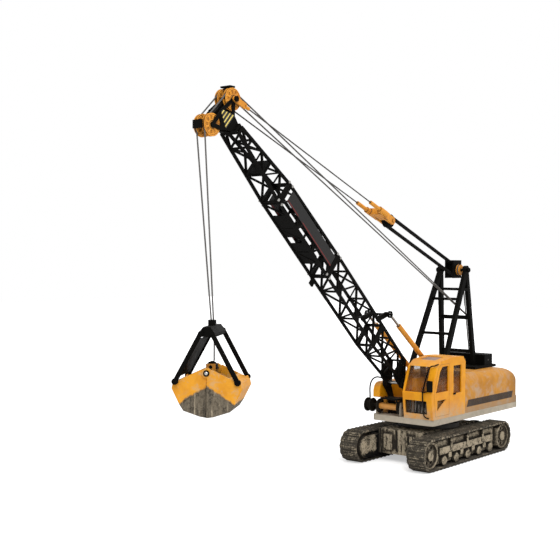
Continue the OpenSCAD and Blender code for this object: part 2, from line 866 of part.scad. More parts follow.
// Hood over the drums, on its roof plate, with the exhaust stub
module hood() {
    x0 = -hood_back;
    x1 = -hood_front;
    color(black) {
        difference() {
            union() {
                box(-hood_back - hood_sill, -gantry_x + 13, hood_right - 5, hood_left + 2, house_top,
                    roof_plate_top);
                box(x0, x1, hood_right, hood_left, roof_plate_top - 1, hood_top);
            }
            for (y = [[hood_right + hood_wall, drum_split_y - 1], [drum_split_y + 1, hood_left - hood_wall]])
                box(x0 + hood_wall, x1 - hood_wall, y[0], y[1], roof_plate_top, hood_top - hood_wall);
            box(drum_x - drum_flange_r, drum_x + drum_flange_r + 3, lead_y - 6, lead_y - 2,
                hood_top - 4, hood_top + 1);
            box(drum_x - drum_flange_r, drum_x + drum_flange_r + 3, tail_y[0] - 2, tail_y[1] + 2,
                hood_top - 4, hood_top + 1);
            cross_rod([drum_x, drum_z], hood_right - 1, hood_left + 1, drum_shaft_r + play);
        }
        translate([-hood_back - hood_sill / 2, hood_left - 8, roof_plate_top - 1]) difference() {
            cylinder(r = 3.6, h = 17);
            translate([0, 0, 8]) cylinder(r = 2.4, h = 17);
        }
    }
}

// Drum with wound rope between two flanges
module rope_drum(y0, y1) {
    cross_rod([drum_x, drum_z], y0, y1, drum_r);
    cross_rod([drum_x, drum_z], y0, y0 + 1.6, drum_flange_r);
    cross_rod([drum_x, drum_z], y1 - 1.6, y1, drum_flange_r);
}

module hoist_drum() {
    y0 = drum_split_y + 1 + air;
    y1 = hood_left - hood_wall - air;
    color(steel) {
        rope_drum(y0, y1);
        cross_rod([drum_x, drum_z], y0 - 1.2, y1 + 2, drum_shaft_r);
    }
}

module luff_drum() {
    y0 = hood_right + hood_wall + air;
    y1 = drum_split_y - 1 - air;
    color(steel) {
        rope_drum(y0, y1);
        cross_rod([drum_x, drum_z], y0 - 2, y1 + 0.6, drum_shaft_r);
    }
}

// Gantry

// One A frame, drawn in its own plane and leaned outwards to its feet
module gantry_side(side) {
    lean = atan2((gantry_foot_w - gantry_top_w) / 2, gantry_z - house_top);
    long = gantry_z - house_top + 12;
    foot_front = [leg_front_run() * long / (gantry_z - house_top), -long];
    foot_rear = [-22 * long / (gantry_z - house_top), -long];
    translate([apex[0], boom_y + side * gantry_top_w / 2, apex[1]])
        rotate([side * lean, 0, 0])
            difference() {
                side_plate(-3.5, 3.5) {
                    bar([0, 0], foot_front, leg_w);
                    bar([0, 0], foot_rear, leg_w);
                    bar([leg_front_run() * 0.2, -38], [-4.4, -38], 5);
                    circle(leg_w * 0.8);
                }
                cross_rod([0, 0], -10, 10, axle_bore());
            }
}
function leg_front_run() = gantry_x - house_front - 8;
function axle_bore() = 3 + play;
function front_leg(z) = -gantry_x + leg_front_run() * (gantry_z - z) / (gantry_z - house_top);
function rear_leg(z) = -gantry_x - 22 * (gantry_z - z) / (gantry_z - house_top);
function leg_half(z) = gantry_top_w / 2 + (gantry_foot_w - gantry_top_w) / 2 * (gantry_z - z)
    / (gantry_z - house_top);

module cross_bar(x, z, t) {
    half = leg_half(z);
    box(x - 3, x + 3, boom_y - half, boom_y + half, z - t / 2, z + t / 2);
}

module gantry() {
    color(black) difference() {
        union() {
            gantry_side(-1);
            gantry_side(1);
            for (drop = [37, 56, 121]) cross_bar(front_leg(gantry_z - drop), gantry_z - drop, 5);
            cross_bar(rear_leg(guide_z), guide_z - 1, 5);
            cross_bar(rear_leg(house_top + 32), house_top + 32, 6);
            cross_rod(guide, boom_y - leg_half(guide_z) + 2, boom_y + leg_half(guide_z) - 2, guide_r);
            for (side = [-1, 1])
                rod([rear_leg(house_top + 78) - 2, boom_y + side * leg_half(house_top + 78), house_top + 78],
                    [-hood_front + 1.8, boom_y + side * leg_half(house_top), house_top - 8], 1);
        }
        box(-gantry_x - 80, -gantry_x + 13, -deck_w, deck_w, house_top - 40, roof_plate_top);
        box(-gantry_x + 12, 40, -deck_w, deck_w, house_top - 40, house_top);
    }
}

// Housing of the luffing sheaves, with the axle through both A frames
module gantry_head() {
    half_len = luff_r + 5.5;
    top = gantry_z + luff_r + 9;
    inner = pack_half + 0.6;
    color(black) {
        for (side = [-1, 1])
            box(apex[0] - half_len, apex[0] + half_len, boom_y + side * (inner + 1.5) - 1.5,
                boom_y + side * (inner + 1.5) + 1.5, gantry_z - luff_r - 6, top);
        box(apex[0] - half_len, apex[0] + half_len - 9, boom_y - inner - 1, boom_y + inner + 1, top - 3.4,
            top);
        box(apex[0] - half_len, apex[0] - half_len + 2.4, boom_y - inner - 1, boom_y + inner + 1,
            gantry_z - luff_r - 6, top);
        cross_rod(apex, boom_y - gantry_top_w / 2 - 6, boom_y + gantry_top_w / 2 + 6, pin_r);
        for (side = [-1, 1])
            cross_rod(apex, boom_y + side * (gantry_top_w / 2 + 6.5) - 1.5,
                boom_y + side * (gantry_top_w / 2 + 6.5) + 1.5, 4.4);
    }
}

module gantry_sheaves() {
    color(black) sheave_pack(apex);
}

module lead_sheave() {
    color(yellow) sheave(apex, lead_y - 3, lead_y + 3, lead_out_r, lead_in_r, pin_r + play);
}

// Rope ends that run down from the gantry into the hood
module rope_tails() {
    color(rope_grey) {
        for (y = tail_y)
            rod(at_y(guide + tail_out * guide_rope_r, y),
                at_y([drum_x, drum_z] + tail_out * (drum_r + rope_r + 0.1), y), rope_r);
        rod(at_y(apex + lead_out * lead_pitch_r, lead_y),
            at_y([drum_x, drum_z] + lead_out * (drum_r + rope_r + 0.1), lead_y - 4), rope_r);
    }
}

// Boom foot bracket and front winch

module foot_bracket() {
    inner = boom_w / 2 - 1.2;
    t = 4;
    z0 = deck_top;
    color(black) {
        difference() {
            for (side = [-1, 1]) {
                y0 = boom_y + side * (inner + t / 2) - t / 2;
                side_plate(y0, y0 + t) {
                    polygon([
                        [foot_x - 36, z0], [foot_x - 9, z0], [foot_x - 9, foot_z - 26],
                        [foot_x + 9, foot_z - 4], [foot_x - 9, foot_z + 3]
                    ]);
                    translate([foot_x, foot_z]) circle(10);
                }
            }
            cross_rod([foot_x, foot_z], boom_y - boom_w, boom_y + boom_w, foot_pin_r + play);
        }
        box(foot_x - 36, foot_x - 12, boom_y - inner - 1, boom_y + inner + 1, z0, z0 + 4);
        cross_rod([foot_x - 22, z0 + 26], boom_y - inner - 1, boom_y + inner + 1, 3);
        y_in = boom_y - inner - t;
        cross_rod([foot_x, foot_z + 6.6], y_in - 3, y_in, 2.6);
        box(winch_x - 14, winch_x + 13, winch_right + 10, winch_left - 0.5, winch_z + winch_flange_r + 1,
            winch_z + winch_flange_r + 4);
        for (x = [winch_x - 14, winch_x + 10])
            box(x, x + 3, winch_left - 3, winch_left - 0.5, winch_z + winch_flange_r - 4,
                winch_z + winch_flange_r + 2);
    }
}

module winch_plates() {
    t = 3;
    color(dusty)
        for (y = [winch_right - air - t, winch_left + air])
            side_plate(y, y + t)
                difference() {
                    polygon([
                        [winch_x - 14, deck_top], [deck_front - 1, deck_top], [deck_front - 1, winch_z],
                        [winch_x + 4, winch_z + 9], [winch_x - 4, winch_z + 9], [winch_x - 14, winch_z - 4]
                    ]);
                    translate([winch_x, winch_z]) circle(winch_shaft_r + play);
                }
}

module winch_drum() {
    color(yellow) {
        cross_rod([winch_x, winch_z], winch_right, winch_left, winch_drum_r);
        for (y = [winch_right, winch_left - 3])
            cross_rod([winch_x, winch_z], y, y + 3, winch_flange_r);
        cross_rod([winch_x, winch_z], winch_right - 3, winch_left + 3, winch_shaft_r);
    }
}

// Reel of the cable, outside the deck's right edge, on a shaft through the winch plate
module cable_reel() {
    color(black) {
        cross_rod([winch_x, winch_z], reel_out, reel_in, winch_flange_r * 0.72);
        for (y = [reel_out, reel_in - 2.4])
            cross_rod([winch_x, winch_z], y, y + 2.4, winch_flange_r);
        cross_rod([winch_x, winch_z], reel_in - 1, winch_right - air - 3.3, winch_shaft_r + 1.5);
    }
}

module reel_cable() {
    color(rope_grey) tube(cable_route, cable_r, 8);
}

// Boom

module on_boom_frame() {
    translate([foot_x, boom_y, foot_z]) rotate([0, -boom_angle, 0]) children();
}

// Zigzag between two edges that run from the place a0 to a1
module lacing(a0, a1, low0, high0, low1, high1, bays) {
    for (i = [0 : bays - 1]) {
        s = i / bays;
        t = (i + 1) / bays;
        low_s = low0 + (low1 - low0) * s;
        high_s = high0 + (high1 - high0) * s;
        low_t = low0 + (low1 - low0) * t;
        high_t = high0 + (high1 - high0) * t;
        x = a0 + (a1 - a0) * s;
        y = a0 + (a1 - a0) * t;
        if (i % 2 == 0) bar([x, low_s], [y, high_t], lace_t);
        else bar([x, high_s], [y, low_t], lace_t);
        if (i % 2 == 1 && i < bays - 1) bar([y, low_t], [y, high_t], lace_t);
    }
}

// Side face of one stretch: two chords, lacing between them and posts at the ends
module side_face(a0, a1, low0, high0, low1, high1, bays) {
    c = chord_t / 2;
    for (side = [-1, 1])
        translate([0, side * (boom_w / 2 - face_t / 2), 0])
            side_plate(-face_t / 2, face_t / 2) {
                bar([a0, low0 + c], [a1, low1 + c], chord_t);
                bar([a0, high0 - c], [a1, high1 - c], chord_t);
                lacing(a0 + c, a1 - c, low0 + c, high0 - c, low1 + c, high1 - c, bays);
                translate([a0, low0 + 0.6]) square([chord_t, high0 - low0 - 1.2]);
                translate([a1 - chord_t, low1 + 0.6]) square([chord_t, high1 - low1 - 1.2]);
            }
}

// Face across the boom, from the height h0 at a0 to h1 at a1; lift puts it inside the chords
module cross_face(a0, a1, h0, h1, bays, lift) {
    slope = atan2(h1 - h0, a1 - a0);
    run = norm([a1 - a0, h1 - h0]);
    edge = boom_w / 2 - face_t / 2;
    translate([a0, 0, h0]) rotate([0, -slope, 0])
        translate([0, 0, lift]) linear_extrude(lace_t) {
            lacing(lace_t, run - lace_t, -edge, edge, -edge, edge, bays);
            translate([0.4, -edge]) square([lace_t, 2 * edge]);
            translate([run - lace_t - 0.4, -edge]) square([lace_t, 2 * edge]);
        }
}

// One stretch of lattice with its four faces
module lattice(a0, a1, low0, high0, low1, high1, bays) {
    side_face(a0, a1, low0, high0, low1, high1, bays);
    cross_face(a0, a1, low0, low1, bays, (chord_t - lace_t) / 2);
    cross_face(a0, a1, high0, high1, bays, -(chord_t + lace_t) / 2);
}

// Solid plates at the boom's foot, with the bore of the foot pin
module foot_plates() {
    for (side = [-1, 1]) {
        y0 = side * (plate_in + 1.9) - 1.9;
        side_plate(y0, y0 + 3.8) {
            circle(9);
            polygon([[-6, 6], [3, -8.5], [lower_a + 4, front_foot - 4], [lower_a + 14, front_foot],
                [lower_a + 10, back_mid - 2], [lower_a - 4, back_mid - 1]]);
        }
    }
}

// Ears that carry the upper pins of the backstops
module stop_ears() {
    for (side = [-1, 1]) {
        y0 = side * (boom_w / 2 - 2) - 2;
        side_plate(y0, y0 + 4) {
            link([stop_a, stop_h], [stop_a + 14, back_mid - 2], 4.5);
            bar([stop_a + 8, back_mid - 3], [stop_a + 40, back_mid - 3], 5);
        }
    }
    cross_rod([stop_a, stop_h], -stop_y - 5, stop_y + 5, stop_pin_r);
}

// Holes of the section pins in the four chords at the place a
module pin_holes(a, low, high) {
    for (side = [-1, 1], h = [low + chord_t / 2, high - chord_t / 2])
        cross_rod([a, h], side * boom_w / 2 - 3, side * boom_w / 2 + 3, 1.2);
}

// Latch under the far lower chord, next to the first joint
module latch() {
    far = -boom_w / 2;
    box(joint1_a - 3 * chord_t, joint1_a - chord_t, far, far + face_t, front_mid - 2 * chord_t,
        front_mid + 1);
}

module boom_lower() {
    color(black) on_boom_frame() difference() {
        union() {
            lattice(lower_a, swell_a, front_foot, back_mid, front_mid, back_mid, 3);
            lattice(swell_a - 0.5, joint1_a - section_gap, front_mid, back_mid, front_mid, back_mid, 5);
            foot_plates();
            stop_ears();
            latch();
        }
        cross_rod([0, 0], -boom_w, boom_w, foot_pin_r + play);
        pin_holes(joint1_a - 5, front_mid, back_mid);
    }
}

module boom_middle() {
    color(black) on_boom_frame() difference() {
        union() {
            lattice(joint1_a, joint2_a - section_gap, front_mid, back_mid, front_joint2, back_joint2, 6);
            for (k = [0, 1])
                box(joint1_a + 30 + k * 62, joint1_a + 78 + k * 62, -boom_w / 2 + face_t - 1,
                    boom_w / 2 - face_t + 1, front_mid + 2, front_mid + 3.4);
        }
        pin_holes(joint1_a + 5, front_mid, back_mid);
        pin_holes(joint2_a - 5, front_joint2, back_joint2);
    }
}

module boom_top() {
    mid_a = 526;
    share = (mid_a - joint2_a) / (top_a - joint2_a);
    color(black) on_boom_frame() difference() {
        union() {
            lattice(joint2_a, top_a, front_joint2, back_joint2, front_top, back_top, 5);
            box(mid_a, mid_a + 2.4, -boom_w / 2 + 1, boom_w / 2 - 1,
                front_joint2 + (front_top - front_joint2) * share + 2,
                back_joint2 + (back_top - back_joint2) * share - 2);
        }
        pin_holes(joint2_a + 5, front_joint2, back_joint2);
    }
}

// Foot pin with its heads, and the pins that hold the sections together
module boom_pins() {
    color(steel) on_boom_frame() {
        cross_rod([0, 0], -boom_w / 2 - 3, boom_w / 2 + 3, foot_pin_r);
        for (side = [-1, 1])
            cross_rod([0, 0], side * (boom_w / 2 + 3.8) - 0.8, side * (boom_w / 2 + 3.8) + 0.8,
                foot_pin_r + 0.8);
        for (p = [
            [joint1_a - 5, front_mid, back_mid], [joint1_a + 5, front_mid, back_mid],
            [joint2_a - 5, front_joint2, back_joint2], [joint2_a + 5, front_joint2, back_joint2]
        ], side = [-1, 1], h = [p[1] + chord_t / 2, p[2] - chord_t / 2]) {
            face = side * boom_w / 2;
            cross_rod([p[0], h], min(face - side * 2.8, face + side), max(face - side * 2.8, face + side),
                1.1);
            cross_rod([p[0], h], min(face + side * 0.1, face + side * 1.7),
                max(face + side * 0.1, face + side * 1.7), 2.2);
        }
    }
}

// Plain sign panels on both sides of the boom
module sign_panels() {
    color("#3a1414") on_boom_frame()
        for (side = [-1, 1]) {
            y0 = side * (boom_w / 2 + 0.8) - 0.7;
            box(joint1_a + 8, joint2_a - 11, y0, y0 + 1.4, front_mid + 17, back_mid - 11);
        }
}

// Head of the boom: middle web, cross plates, guards, both axles and the arms over the sheaves
module boom_head() {
    color(black) on_boom_frame() {
        side_plate(-web_half, web_half)
            polygon([
                [top_a + 1, front_top + 1], [nose_a - 18, nose_h + 6], [nose_a - 5, nose_h - 7],
                [nose_a + 5, nose_h - 6], [nose_a + 6, nose_h + 6], [head_a + 6, head_h - 8],
                [head_a + 6, head_h + 4], [head_a - 6, head_h + 6], [top_a + 14, back_top + 9],
                [top_a + 1, back_top - 1]
            ]);
        box(top_a + 1, top_a + 5, -boom_w / 2 + 2, boom_w / 2 - 2, front_top, back_top);
        box(top_a + 4, top_a + 8, -boom_w / 2 + 6, boom_w / 2 - 6, front_top, back_top);
        guard_in = sheave_r + guard_gap;
        translate([head_a, 0, head_h]) rotate([0, boom_angle, 0]) {
            box(-head_guard[0] / 2, head_guard[0] / 2, -head_guard[1] / 2, head_guard[1] / 2,
                guard_in, guard_in + head_guard[2]);
            box(-2.5, 2.5, -web_half + 1, web_half - 1, 0, guard_in + 1);
        }
        translate([nose_a, 0, nose_h]) rotate([0, boom_angle, 0]) {
            box(guard_in, guard_in + nose_guard[0], -nose_guard[1] / 2, nose_guard[1] / 2,
                -nose_guard[2] / 2, nose_guard[2] / 2);
            box(0, guard_in + 1, -web_half + 1, web_half - 1, -4, 4);
        }
        cross_rod([head_a, head_h], -clevis_in - clevis_t - 1.2, clevis_in + clevis_t + 1.2, pin_r);
        cross_rod([nose_a, nose_h], -web_half - sheave_w - 2.4, web_half + sheave_w + 2.4, pin_r);
        for (side = [-1, 1]) {
            y_head = side * (clevis_in + clevis_t + 1.4);
            y_nose = side * (web_half + sheave_w + 2);
            cross_rod([head_a, head_h], y_head - 1, y_head + 1, pin_r + 1.6);
            cross_rod([nose_a, nose_h], y_nose - 0.8, y_nose + 0.8, pin_r + 2);
        }
        for (y = [-arm_far, sheave_in + sheave_w + air])
            side_plate(y, y + arm_far - sheave_in - sheave_w - air) {
                polygon([
                    [top_a + 3, front_top + 1], [nose_a - 18, nose_h + 9], [nose_a - 14, nose_h + 8.5],
                    [nose_a + 3, nose_h + 24.5], [nose_a + 3, nose_h + 30], [head_a - 14, head_h - 16],
                    [top_a + 3, back_top - 1]
                ]);
                link([head_a, head_h], [nose_a + 1, nose_h + 29], head_arm_r);
                link([head_a, head_h], [head_a - 15, head_h - 18], head_arm_r);
                link([nose_a, nose_h], [nose_a - 15, nose_h + 9], head_arm_r);
                link([nose_a, nose_h], [nose_a + 1, nose_h + 25], head_arm_r);
                translate([head_a, head_h]) circle(pin_r + 2);
                translate([nose_a, nose_h]) circle(pin_r + 2);
            }
    }
}

// Ropes between the head sheaves and the nose sheaves
module head_ropes() {
    turn = atan2(nose[1] - head[1], nose[0] - head[0]);
    out = [-sin(turn), cos(turn)] * pitch_r;
    color(rope_grey)
        for (side = [-1, 1])
            rod(at_y(head + out, boom_y + side * sheave_y), at_y(nose + out, boom_y + side * sheave_y),
                rope_r);
}

module sheave_pair(p) {
    color(yellow)
        for (side = [-1, 1]) {
            y0 = boom_y + side * sheave_y - sheave_w / 2;
            sheave(p, y0, y0 + sheave_w, sheave_r, groove_r, pin_r + play);
        }
}

module head_sheaves() {
    sheave_pair(head);
}

module nose_sheaves() {
    sheave_pair(nose);
}

// Luffing gear

module on_line() {
    translate([apex[0], boom_y, apex[1]]) rotate([0, -line_angle, 0]) children();
}

module clevis_links() {
    color(yellow) on_line()
        for (side = [-1, 1]) {
            y0 = side * clevis_y - clevis_t / 2;
            difference() {
                union() {
                    side_plate(y0, y0 + clevis_t) link([line_len, 0], [line_len - clevis_len + 4, 0], 4.4);
                    translate([line_len - clevis_len - 6, side * clevis_y, 0]) rotate([0, 90, 0])
                        cylinder(r = 2.6, h = 10);
                }
                cross_rod([line_len, 0], -clevis_in - 10, clevis_in + 10, pin_r + play);
                translate([line_len - clevis_len - 7, side * clevis_y, 0]) rotate([0, 90, 0])
                    cylinder(r = pendant_r + play, h = 6);
            }
        }
}

module pendants() {
    far_x = line_len - clevis_len - 1.5;
    near_x = falls_len + prong_len - 5.5;
    color(rope_grey) on_line()
        for (side = [-1, 1])
            rod([near_x, side * prong_y, 0], [far_x, side * clevis_y, 0], pendant_r);
}

// Yoke with two prongs for the pendants and a fork for the sheaves
module spreader() {
    cheek = pack_half + 0.5;
    color(yellow) on_line() difference() {
        union() {
            for (side = [-1, 1]) {
                y0 = side * (cheek + 1.9) - 1.9;
                side_plate(y0, y0 + 3.8) link([falls_len, 0], [falls_len + 28, 0], 7);
                translate([falls_len + 30, side * prong_y, 0]) rotate([0, 90, 0])
                    cylinder(r = prong_r, h = prong_len - 30);
                translate([falls_len + 30, side * prong_y, 0]) rotate([0, 90, 0])
                    cylinder(r = sleeve_r, h = sleeve_len);
            }
            box(falls_len + 18, falls_len + 44, -prong_y, prong_y, -6, 6);
        }
        for (side = [-1, 1])
            translate([falls_len + prong_len - 6, side * prong_y, 0]) rotate([0, 90, 0])
                cylinder(r = pendant_r + 0.25, h = 12);
    }
    color(black) on_line()
        cross_rod([falls_len, 0], -cheek - 5.4, cheek + 5.4, pin_r);
}

module spreader_sheaves() {
    color(black)
        sheave_pack(apex + falls_len * [cos(line_angle), sin(line_angle)]);
}

// Upper and lower runs of the luffing rope between the two sheave packs
module falls() {
    color(rope_grey) on_line()
        for (y = strand_y, h = [-luff_r, luff_r])
            rod([0, y, h], [falls_len, y, h], falls_r);
}

// Hoist rope number k, and its place at the share t of its way from the gantry to the head
function hoist_start(k) = at_y(guide + hoist_out * guide_rope_r, tail_y[k]);
function hoist_end(k) = at_y(head + hoist_out * pitch_r, boom_y + (2 * k - 1) * sheave_y);
function hoist_at(k, t) = hoist_start(k) * (1 - t) + hoist_end(k) * t;

module hoist_ropes() {
    color(rope_grey)
        for (k = [0, 1]) rod(hoist_at(k, hoist_split), hoist_end(k), rope_r);
}

module hoist_ends() {
    color(rope_grey)
        for (k = [0, 1]) rod(hoist_start(k), hoist_at(k, hoist_split), rope_r);
}

// Backstops

module on_stop(side) {
    translate([stop_foot[0], boom_y + side * stop_y, stop_foot[1]]) rotate([0, -stop_angle, 0]) children();
}

module backstop_barrels() {
    color(yellow)
        for (side = [-1, 1])
            on_stop(side) difference() {
                union() {
                    cross_rod([0, 0], -3.2, 3.2, stop_eye_r);
                    rotate([0, 90, 0]) cylinder(r = stop_neck_r, h = stop_neck + 1);
                    translate([stop_neck, 0, 0]) rotate([0, 90, 0])
                        cylinder(r = barrel_r, h = barrel_len - stop_neck);
                }
                cross_rod([0, 0], -10, 10, stop_pin_r + play);
                translate([stop_neck + 4, 0, 0]) rotate([0, 90, 0])
                    cylinder(r = rod_r + play, h = barrel_len);
            }
}

module backstop_rods() {
    color(steel)
        for (side = [-1, 1])
            on_stop(side) difference() {
                union() {
                    translate([barrel_len - rod_in, 0, 0]) rotate([0, 90, 0])
                        cylinder(r = rod_r, h = stop_len - 5 - barrel_len + rod_in);
                    cross_rod([stop_len, 0], -2, 2, 6.2);
                }
                cross_rod([stop_len, 0], -10, 10, stop_pin_r + 2.4);
            }
}

// Grab

module on_grab() {
    translate([grab_x, grab_y, 0]) rotate([0, 0, grab_turn]) children();
}

// Plate drawn across the hinge (v to the right, z up), from u0 to u1 along the hinge
module grab_plate(u0, u1) {
    translate([u0, 0, 0]) rotate([90, 0, 90]) linear_extrude(u1 - u0) children();
}

// Rod along the hinge direction round the point (v, z)
module hinge_rod(v, z, u0, u1, r) {
    translate([u0, v, z]) rotate([0, 90, 0]) cylinder(r = r, h = u1 - u0);
}

module grab_ropes() {
    color(rope_grey)
        for (side = [-1, 1])
            rod([grab_x, grab_y + side * rope_foot_y, rope_foot_z],
                [hang_x, boom_y + side * sheave_y, nose[1]], rope_r);
}

module grab_head() {
    color(black) on_grab() {
        translate([0, 0, grab_z]) {
            grab_plate(-arm_in + air, arm_in - air)
                polygon([
                    [-head_half, -head_low], [head_half, -head_low], [head_half, 0], [ridge_half, head_ridge],
                    [-ridge_half, head_ridge], [-head_half, 0]
                ]);
            box(-ridge_half, ridge_half, -ridge_half, ridge_half, head_ridge - 1, rope_foot_z - grab_z - 0.2);
        }
        for (v = [-arm_top_v, arm_top_v])
            hinge_rod(v, grab_z, -arm_in - arm_t - 1, arm_in + arm_t + 1, arm_pin_r);
    }
}

// A pair of arms, one at each end of the hinge; a web joins the left pair
module arms(side) {
    top = [side * arm_top_v, grab_z];
    foot = [side * arm_pin_v, arm_pin_z];
    color(black) on_grab() {
        if (side < 0)
            grab_plate(-arm_in - 1, arm_in + 1)
                bar(top + (foot - top) * web_from, top + (foot - top) * web_to, web_t);
        for (u = [-arm_in - arm_t, arm_in])
            difference() {
                grab_plate(u, u + arm_t) {
                    bar(top, foot, arm_w);
                    translate(top) circle(arm_w / 2 + 0.4);
                    translate(foot) circle(arm_eye_r);
                }
                hinge_rod(top[0], top[1], -arm_in - 10, arm_in + 10, arm_pin_r + play);
                hinge_rod(foot[0], foot[1], -arm_in - 10, arm_in + 10, arm_pin_r + arm_slack);
            }
    }
}

// Outline of a shell's cheek, and of the wall that runs round its back; v is positive
function shell_back() = [
    [shell_reach, -14], [shell_corner, -22], [shell_reach - 9, -shell_depth + 18],
    [shell_reach - 15, -shell_depth + 9], [10, -shell_depth + 1.5], [0.4, -shell_depth]
];
module cheek_outline() {
    polygon(concat([[0.4, -4], [7, 5]], shell_back()));
}
module back_outline() {
    inner = [for (p = shell_back()) [p[0] - plate_t * 1.1, p[1] + plate_t * 0.7]];
    for (i = [0 : len(inner) - 2])
        polygon([shell_back()[i], inner[i], inner[i + 1], shell_back()[i + 1]]);
}

// One shell; half is the distance from the middle to the outer face of its cheeks
module shell(side, half) {
    color(yellow) on_grab() translate([0, 0, hinge_z]) mirror([0, side < 0 ? 1 : 0, 0])
        difference() {
            union() {
                for (u = [-half, half - plate_t])
                    grab_plate(u, u + plate_t) {
                        cheek_outline();
                        circle(hinge_pin_r + 4);
                    }
                grab_plate(-half + 0.5, half - 0.5) back_outline();
                grab_plate(-half + 0.5, half - 0.5)
                    bar([shell_reach - 1, -14.5], [shell_reach - 17, -7.5], plate_t);
                pin_end = arm_in + arm_t + air / 2;
                for (u = [-pin_end, half - 1])
                    hinge_rod(arm_pin_v, arm_pin_z - hinge_z, u, u + pin_end - half + 1, arm_pin_r);
                for (u = [-pin_end - arm_washer_t, pin_end])
                    hinge_rod(arm_pin_v, arm_pin_z - hinge_z, u, u + arm_washer_t, arm_washer_r);
            }
            hinge_rod(0, 0, -half - 1, half + 1, hinge_pin_r + play);
            box(-half - 1, half + 1, -20, 0.3, -shell_depth - 5, -hinge_pin_r - 4.5);
        }
}

module lower_block() {
    color(black) on_grab() translate([0, 0, hinge_z]) {
        hinge_rod(0, 0, -shell_w / 2 - 0.6, shell_w / 2 + 0.6, hinge_pin_r);
        for (u = [-shell_w / 2 - 2, shell_w / 2 + 0.4]) hinge_rod(0, 0, u, u + 1.6, hinge_pin_r + 1.4);
        hinge_rod(0, block_sheave_z, -block_slot + 0.6, block_slot - 0.6, block_sheave_r);
        hinge_rod(0, block_sheave_z, -block_half_u - 1, block_half_u + 1, 2.4);
    }
    color(yellow) on_grab() translate([0, 0, hinge_z]) difference() {
        top = block_sheave_z + 4;
        box(-block_half_u, block_half_u, -block_half_v, block_half_v, -block_low, top);
        box(-block_slot, block_slot, -block_half_v - 1, block_half_v + 1, -hinge_pin_r - 0.6, top + 1);
    }
}

module closing_rope() {
    low = hinge_z + block_sheave_z + block_sheave_r + air;
    color(rope_grey) on_grab()
        rod([0, closing_v, low], [0, closing_v, grab_z - head_low - 0.2], rope_r);
}

placed() chassis();
placed() slew_ring();
placed() track_frame();  // left_track_frame
placed() mirror([0, 1, 0]) track_frame();  // right_track_frame
placed() belt();  // left_belt
placed() mirror([0, 1, 0]) belt();  // right_belt
placed() drive_units();
placed() sprocket();  // left_sprocket
placed() mirror([0, 1, 0]) sprocket();  // right_sprocket
placed() idler();  // left_idler
placed() mirror([0, 1, 0]) idler();  // right_idler
placed() deck();
placed() house();
placed() side_box();
placed() cab_shell();
placed() cab_glazing();
placed() cab_seat();
placed() cab_rails();
placed() hood();
placed() gantry();
placed() gantry_head();
placed() foot_bracket();
placed() winch_plates();
placed() motors();
placed() power_pack();
placed() counterweight();
placed() rope_tails();
placed() reel_cable();
placed() winch_drum();
placed() cable_reel();
placed() hoist_drum();
placed() luff_drum();
placed() gantry_sheaves();
placed() lead_sheave();
placed() boom_lower();
placed() boom_middle();
placed() boom_top();
placed() boom_pins();
placed() sign_panels();
placed() boom_head();
placed() head_ropes();
placed() head_sheaves();
placed() nose_sheaves();
placed() clevis_links();
placed() pendants();
placed() spreader();
placed() spreader_sheaves();
placed() falls();
placed() hoist_ropes();
placed() hoist_ends();
placed() backstop_barrels();
placed() backstop_rods();
placed() grab_ropes();
placed() grab_head();
placed() arms(-1);  // left_arms
placed() arms(1);  // right_arms
placed() shell(-1, inner_cheek);  // left_shell
placed() shell(1, shell_w / 2);  // right_shell
placed() lower_block();
placed() closing_rope();
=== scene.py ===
"""Looks of a toy crawler crane with a lattice boom and a two-shell grab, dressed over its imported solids."""
import json
import math

import bmesh
import bpy
import numpy as np
from mathutils import Matrix, Vector


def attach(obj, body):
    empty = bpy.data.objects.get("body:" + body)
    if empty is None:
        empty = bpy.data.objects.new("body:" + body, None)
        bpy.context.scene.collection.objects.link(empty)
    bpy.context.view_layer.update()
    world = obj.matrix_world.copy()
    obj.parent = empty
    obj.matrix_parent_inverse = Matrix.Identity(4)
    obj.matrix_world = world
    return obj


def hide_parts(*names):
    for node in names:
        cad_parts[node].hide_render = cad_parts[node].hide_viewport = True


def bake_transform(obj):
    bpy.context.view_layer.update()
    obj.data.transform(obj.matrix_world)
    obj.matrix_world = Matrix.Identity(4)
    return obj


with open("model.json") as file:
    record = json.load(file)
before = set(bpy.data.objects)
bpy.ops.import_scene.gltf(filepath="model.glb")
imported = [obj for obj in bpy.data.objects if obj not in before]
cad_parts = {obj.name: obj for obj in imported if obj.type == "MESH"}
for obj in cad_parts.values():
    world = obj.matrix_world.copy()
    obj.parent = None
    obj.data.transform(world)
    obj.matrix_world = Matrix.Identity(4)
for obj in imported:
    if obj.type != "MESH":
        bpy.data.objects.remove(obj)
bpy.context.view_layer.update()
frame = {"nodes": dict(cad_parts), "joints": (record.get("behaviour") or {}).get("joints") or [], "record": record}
NODES = frame["nodes"]
JOINTS = {j["name"]: j for j in frame["joints"]}
BODY_OF = {n: body for body, names in frame["record"]["behaviour"]["bodies"].items() for n in names}
SCENE = bpy.context.scene

MM = 0.001
SLEW_X = JOINTS["slew"]["pos_m"][0]
X_AXIS = np.array([1.0, 0.0, 0.0])
Y_AXIS = np.array([0.0, 1.0, 0.0])
BOTH_SIDES = (-1, 1)


def shown(name, data):
    """New object of the data, put into the scene."""
    obj = bpy.data.objects.new(name, data)
    SCENE.collection.objects.link(obj)
    return obj


# Places

def at(x, y, z):
    """Row-frame point of a place given in millimetres from the slewing axis on the ground."""
    return np.array([x * MM + SLEW_X, y * MM, z * MM])


def spot(joint):
    """Place of a joint's axis in the row frame."""
    return np.array(JOINTS[joint]["pos_m"], float)


def unit(v):
    """Vectors of the same directions, one long."""
    return v / np.linalg.norm(v, axis=-1, keepdims=True)


